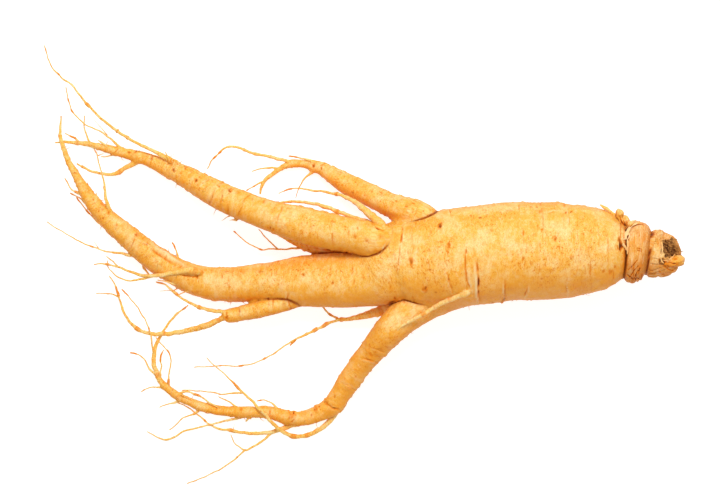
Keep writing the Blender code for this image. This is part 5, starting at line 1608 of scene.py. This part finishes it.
def root_material(name, colours):
    """Moist root skin: straw to golden, with rusty flecks, dots and scars, painted light on the side toward
    the lamp, and painted shade on the sides, at the rims and in the creases.
    """
    tones, flecks, roughness, light_share = FINISHES[name]
    light, middle, deep = (getattr(colours, tone) for tone in tones)
    material = bpy.data.materials.new(name)
    material.use_nodes = True
    tree = material.node_tree
    own_place = tree.nodes.new("ShaderNodeTexCoord").outputs["Object"]
    straight = add(tree, "ShaderNodeAttribute", attribute_name="straight").outputs["Vector"]
    rust, pale, crease, scar, flank = (
        add(tree, "ShaderNodeAttribute", attribute_name=label).outputs["Fac"]
        for label in ("rust", "pale", "crease", "scar", "flank")
    )

    def use(group, maker, **inputs):
        return add(tree, "ShaderNodeGroup", inputs, node_tree=shared_tree(group, maker)).outputs

    def flecked(width, length, **amount):
        return use("skin_flecks", fleck_group, Straight=straight, Width=width, Length=length, **amount)

    def ramp(value, low, high, strength):
        return times(tree, between(tree, value, low, high), strength)

    mottle = use("skin_mottle", mottle_group, Vector=own_place, Straight=straight)
    # Painted shade: the middle tone comes in where the painted shade is, and the pale layers, painted light,
    # fade there.
    share = maths(tree, "MULTIPLY_ADD", flank, 1.8, times(tree, mottle["Patch"], 0.50))
    painted_light_share = maths(tree, "MULTIPLY_ADD", flank, -0.75, 1.0)
    uneven = maths(tree, "MULTIPLY_ADD", mottle["Patch"], 0.40, 0.45)
    crowd = maths(tree, "MULTIPLY_ADD", between(tree, mottle["Crowd"], 0.25, 0.80), 0.70, 0.30)
    layers = [(share, middle)]
    for label, low, high, strength in PALE_LAYERS:
        layers.append((times(tree, ramp(mottle[label], low, high, strength), painted_light_share), colours.pale))
    # The deep tone on the sides and below is painted shade, made uneven by the patches.
    layers.append((ramp(flank, 0.20, 0.80, uneven), deep))
    for label, low, high, strength in DEEP_LAYERS:
        layers.append((ramp(mottle[label], low, high, strength), deep))
    for width, length, amount, strength in flecks:
        mask = flecked(width, length, Amount=amount)["Mask"]
        layers.append((times(tree, mask, strength, crowd), colours.freckle))
    for spacing, size, strength in DOTS:
        mask = use("skin_specks", speck_group, Vector=own_place, Spacing=spacing, Size=size)["Mask"]
        mask = times(tree, mask, strength, crowd)
        layers.append((mask, colours.freckle))
        layers.append((ramp(mask, 0.35, 0.80, 0.60), colours.rust))
    broken = times(tree, rust, maths(tree, "ADD", 0.45, flecked(0.0003, 0.0013)["Height"]))
    for low, high, strength, tone in RUST_LAYERS:
        layers.append((ramp(broken, low, high, strength), getattr(colours, tone)))
    layers.append((times(tree, pale, 0.75), colours.pale))
    # Painted shade in the creases and grooves: rust, then dark.
    layers.append((ramp(crease, 0.05, 0.60, 1.0), colours.rust))
    layers.append((ramp(crease, 0.5, 1.0, 0.85), colours.dark))
    strands = vector_maths(tree, "MULTIPLY", own_place, (1.2, 0.45, 1.0))
    torn = ramp(noise(tree, strands, 560.0, 4.0, 0.70), 0.38, 0.57, 1.0)
    layers.append((scar, blend_colour(tree, torn, colours.dark, colours.scar)))
    # Painted rim shade: amber laid where the skin turns away from the camera, heavier on the painted-shade
    # side.
    facing = add(tree, "ShaderNodeLayerWeight", {"Blend": 0.5}).outputs["Facing"]
    painted_rim_shade = maths(tree, "MULTIPLY_ADD", flank, 0.55, 0.25)
    layers.append((times(tree, maths(tree, "POWER", facing, 3.0), painted_rim_shade), colours.amber))
    colour = light
    for mask, tone in layers:
        colour = blend_colour(tree, mask, colour, tone)

    wrinkles = flecked(0.0004, 0.0022)["Height"]
    height = maths(tree, "MULTIPLY_ADD", mottle["Grain"], 0.5, wrinkles)
    height = maths(tree, "MULTIPLY_ADD", mottle["Cloud"], 0.5, height)
    bump = first_of(tree, "ShaderNodeBump", {"Height": height, "Strength": 0.6, "Distance": BUMP_DISTANCE})
    gloss = maths(tree, "MULTIPLY_ADD", mottle["Grain"], 0.12, roughness)
    gloss = maths(tree, "MULTIPLY_ADD", rust, 0.2, gloss)
    shader = tree.nodes["Principled BSDF"]
    for label, value in (("Base Color", colour), ("Roughness", gloss), ("Normal", bump)):
        tree.links.new(value, shader.inputs[label])
    for label, value in (
        ("Specular IOR Level", SHEEN_LEVEL), ("Subsurface Weight", light_share),
        ("Subsurface Radius", LIGHT_REACH), ("Subsurface Scale", LIGHT_SCALE),
    ):
        shader.inputs[label].default_value = value
    return material


def settle_piece(made):
    """The piece moves with the root."""
    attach(made, BODY)


def sow_hairs(name, ground, context):
    """A separate piece that holds the hairs of another piece."""
    density, length, radius, rise, spread, way, finish = HAIRS[name]
    made = linked(name, ground.data.copy())
    made.data.materials.clear()
    values = {
        "Density": density, "Length": length * PLACE, "Thickness": radius * PLACE, "Rise": rise,
        "Spread": spread, "Way": way, "Seed": context.scene.ginseng_sizes.seed,
        "Material": root_material(finish, context.scene.ginseng_colours),
    }
    grow(made, shared_tree("fine_hairs", hair_tree), values)


def make_floor():
    """The plain white surface that the root lies on."""
    corners = [(x * FLOOR_HALF, y * FLOOR_HALF, -FLOOR_GAP) for x, y in ((-1, -1), (1, -1), (1, 1), (-1, 1))]
    floor = new_piece("white_floor", corners, [], [(0, 1, 2, 3)])
    material = bpy.data.materials.new("white_floor")
    material.use_nodes = True
    for label, value in (
        ("Base Color", (FLOOR_GREY, FLOOR_GREY, FLOOR_GREY, 1.0)), ("Roughness", FLOOR_ROUGHNESS),
        ("Emission Color", (1.0, 1.0, 1.0, 1.0)), ("Emission Strength", FLOOR_GLOW),
    ):
        material.node_tree.nodes["Principled BSDF"].inputs[label].default_value = value
    floor.data.materials.append(material)


def rgb(name, default, description):
    """A colour that the user can change."""
    return bpy.props.FloatVectorProperty(
        name=name, description=description, default=default, subtype="COLOR", size=3, min=0.0, max=1.0
    )


class RootSizes(bpy.types.PropertyGroup):
    """The sizes of the root's finish."""

    grain: bpy.props.FloatProperty(
        name="Grain", description="Distance between the skin's corners", default=GRAIN * PLACE, unit="LENGTH"
    )
    relief: bpy.props.FloatProperty(
        name="Relief", description="Strength of the wrinkles, cracks and pits", default=1.0, min=0.0, max=3.0
    )
    kink: bpy.props.FloatProperty(
        name="Kink", description="How far a rootlet wanders to each side", default=0.9 * PLACE, unit="LENGTH"
    )
    knots: bpy.props.FloatProperty(
        name="Knots", description="How knobbly a rootlet is, as a share of its radius", default=0.9, min=0.0
    )
    rootlet_sides: bpy.props.IntProperty(
        name="Rootlet Sides", description="Faces round each rootlet", default=8, min=3, max=24
    )
    seed: bpy.props.IntProperty(
        name="Seed", description="Which chance marks and hairs the root has", default=7, min=0
    )


class RootColours(bpy.types.PropertyGroup):
    """The colours of the root's finish."""

    straw: rgb("Straw", (0.98, 0.63, 0.155), "Palest broad tone of the skin")
    golden: rgb("Golden", (0.97, 0.48, 0.058), "Middle tone of the skin")
    # Deep is also painted over the sides and below as painted shade.
    deep: rgb("Deep", (0.88, 0.32, 0.018), "Deepest tone of clean skin")
    # Amber is also painted along the rims as painted shade.
    amber: rgb("Amber", (0.62, 0.215, 0.020), "Rims of the limbs, and the neck's deepest tone")
    freckle: rgb("Freckle", (0.80, 0.21, 0.002), "Small orange flecks and dots")
    # Rust and dark are also painted in the creases and grooves as painted shade.
    rust: rgb("Rust", (0.44, 0.090, 0.002), "Streaks, scars and healed cracks")
    dark: rgb("Dark", (0.095, 0.020, 0.002), "Open cracks, creases and holes")
    # Pale is also laid over the side that faces the lamp as painted light.
    pale: rgb("Pale", (0.98, 0.80, 0.45), "Raised lips and dried edges")
    collar: rgb("Collar", (0.80, 0.36, 0.085), "Middle tone of the neck")
    husk: rgb("Husk", (0.90, 0.53, 0.20), "Papery scales")
    scar: rgb("Scar", (0.60, 0.27, 0.070), "Torn fibres of the stem scar")


class GinsengStage(bpy.types.Operator):
    """Make the floor, the soft light and the camera"""

    bl_idname = "ginseng.stage"
    bl_label = "Make Stage"

    def execute(self, context):
        scene = context.scene
        make_floor()
        scene.world = bpy.data.worlds.new("soft_daylight")
        scene.world.use_nodes = True
        sky = scene.world.node_tree.nodes["Background"]
        sky.inputs["Color"].default_value = (1.0, 1.0, 1.0, 1.0)
        sky.inputs["Strength"].default_value = SKY_STRENGTH
        lamp = bpy.data.lights.new("key", "AREA")
        lamp.shape = "DISK"
        lamp.size = LAMP_SIZE
        lamp.energy = LAMP_POWER
        stand = linked("key", lamp)
        stand.location = LAMP_PLACE
        stand.rotation_euler = (LOOK_AT - LAMP_PLACE).to_track_quat("-Z", "Y").to_euler()
        lens = bpy.data.cameras.new("overhead")
        lens.lens = LENS
        lens.sensor_width = SENSOR
        camera = linked("overhead", lens)
        camera.location = CAMERA_PLACE
        scene.camera = camera
        scene.view_settings.view_transform = "Standard"
        return {"FINISHED"}


class GinsengSkin(bpy.types.Operator):
    """Make the skin of the torso, legs and arms, and the hairs on it"""

    bl_idname = "ginseng.skin"
    bl_label = "Make Skin"

    def execute(self, context):
        made = make_skin(context.scene.ginseng_sizes)
        made.data.materials.append(root_material("fresh_skin", context.scene.ginseng_colours))
        settle_piece(made)
        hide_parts(NODE)
        sow_hairs("limb_hairs", made, context)
        return {"FINISHED"}


class GinsengNeck(bpy.types.Operator):
    """Make the neck with its collars, stem scar, buds and papery scales"""

    bl_idname = "ginseng.neck"
    bl_label = "Make Neck"

    def execute(self, context):
        sizes = context.scene.ginseng_sizes
        neck = make_neck(sizes)
        for finish, pieces in (
            ("neck_skin", [neck]), ("bud_skin", make_buds(sizes)), ("papery_scale", [make_scales()]),
        ):
            material = root_material(finish, context.scene.ginseng_colours)
            for piece in pieces:
                piece.data.materials.append(material)
                settle_piece(piece)
        sow_hairs("scar_fibres", neck, context)
        return {"FINISHED"}


class GinsengRootlets(bpy.types.Operator):
    """Make the rootlets and the thin tails of the limbs"""

    bl_idname = "ginseng.rootlets"
    bl_label = "Make Rootlets"

    def execute(self, context):
        sizes = context.scene.ginseng_sizes
        material = root_material("rootlet_skin", context.scene.ginseng_colours)
        for number, (home, members) in enumerate(rootlet_groups().items()):
            values = {
                "Sides": sizes.rootlet_sides, "Kink": sizes.kink, "Kink Length": KINK_LENGTH * PLACE,
                "Knots": sizes.knots, "Knot Length": KNOT_LENGTH * PLACE,
                "Seed": float(sizes.seed + number), "Material": material,
            }
            made = rootlet_lines(home + "_rootlets", members)
            grow(made, shared_tree("rootlet_growth", rootlet_tree), values)
        return {"FINISHED"}


OPERATORS = (GinsengStage, GinsengSkin, GinsengNeck, GinsengRootlets)


class GinsengPanel(bpy.types.Panel):
    """Lists the pieces of the root and the sizes and colours that they share."""

    bl_idname = "GINSENG_PT_pieces"
    bl_label = "Ginseng Root"
    bl_space_type = "VIEW_3D"
    bl_region_type = "UI"
    bl_category = "Ginseng"

    def draw(self, context):
        for operator in OPERATORS:
            self.layout.operator(operator.bl_idname)
        for settings in (context.scene.ginseng_sizes, context.scene.ginseng_colours):
            box = self.layout.box()
            for name in settings.__annotations__:
                box.prop(settings, name)


CLASSES = (RootSizes, RootColours) + OPERATORS + (GinsengPanel,)


def register():
    for item in CLASSES:
        bpy.utils.register_class(item)
    bpy.types.Scene.ginseng_sizes = bpy.props.PointerProperty(type=RootSizes)
    bpy.types.Scene.ginseng_colours = bpy.props.PointerProperty(type=RootColours)


def unregister():
    del bpy.types.Scene.ginseng_colours
    del bpy.types.Scene.ginseng_sizes
    for item in reversed(CLASSES):
        bpy.utils.unregister_class(item)


def main():
    register()
    bpy.ops.ginseng.stage()
    bpy.ops.ginseng.skin()
    bpy.ops.ginseng.neck()
    bpy.ops.ginseng.rootlets()


if __name__ == "__main__":
    main()
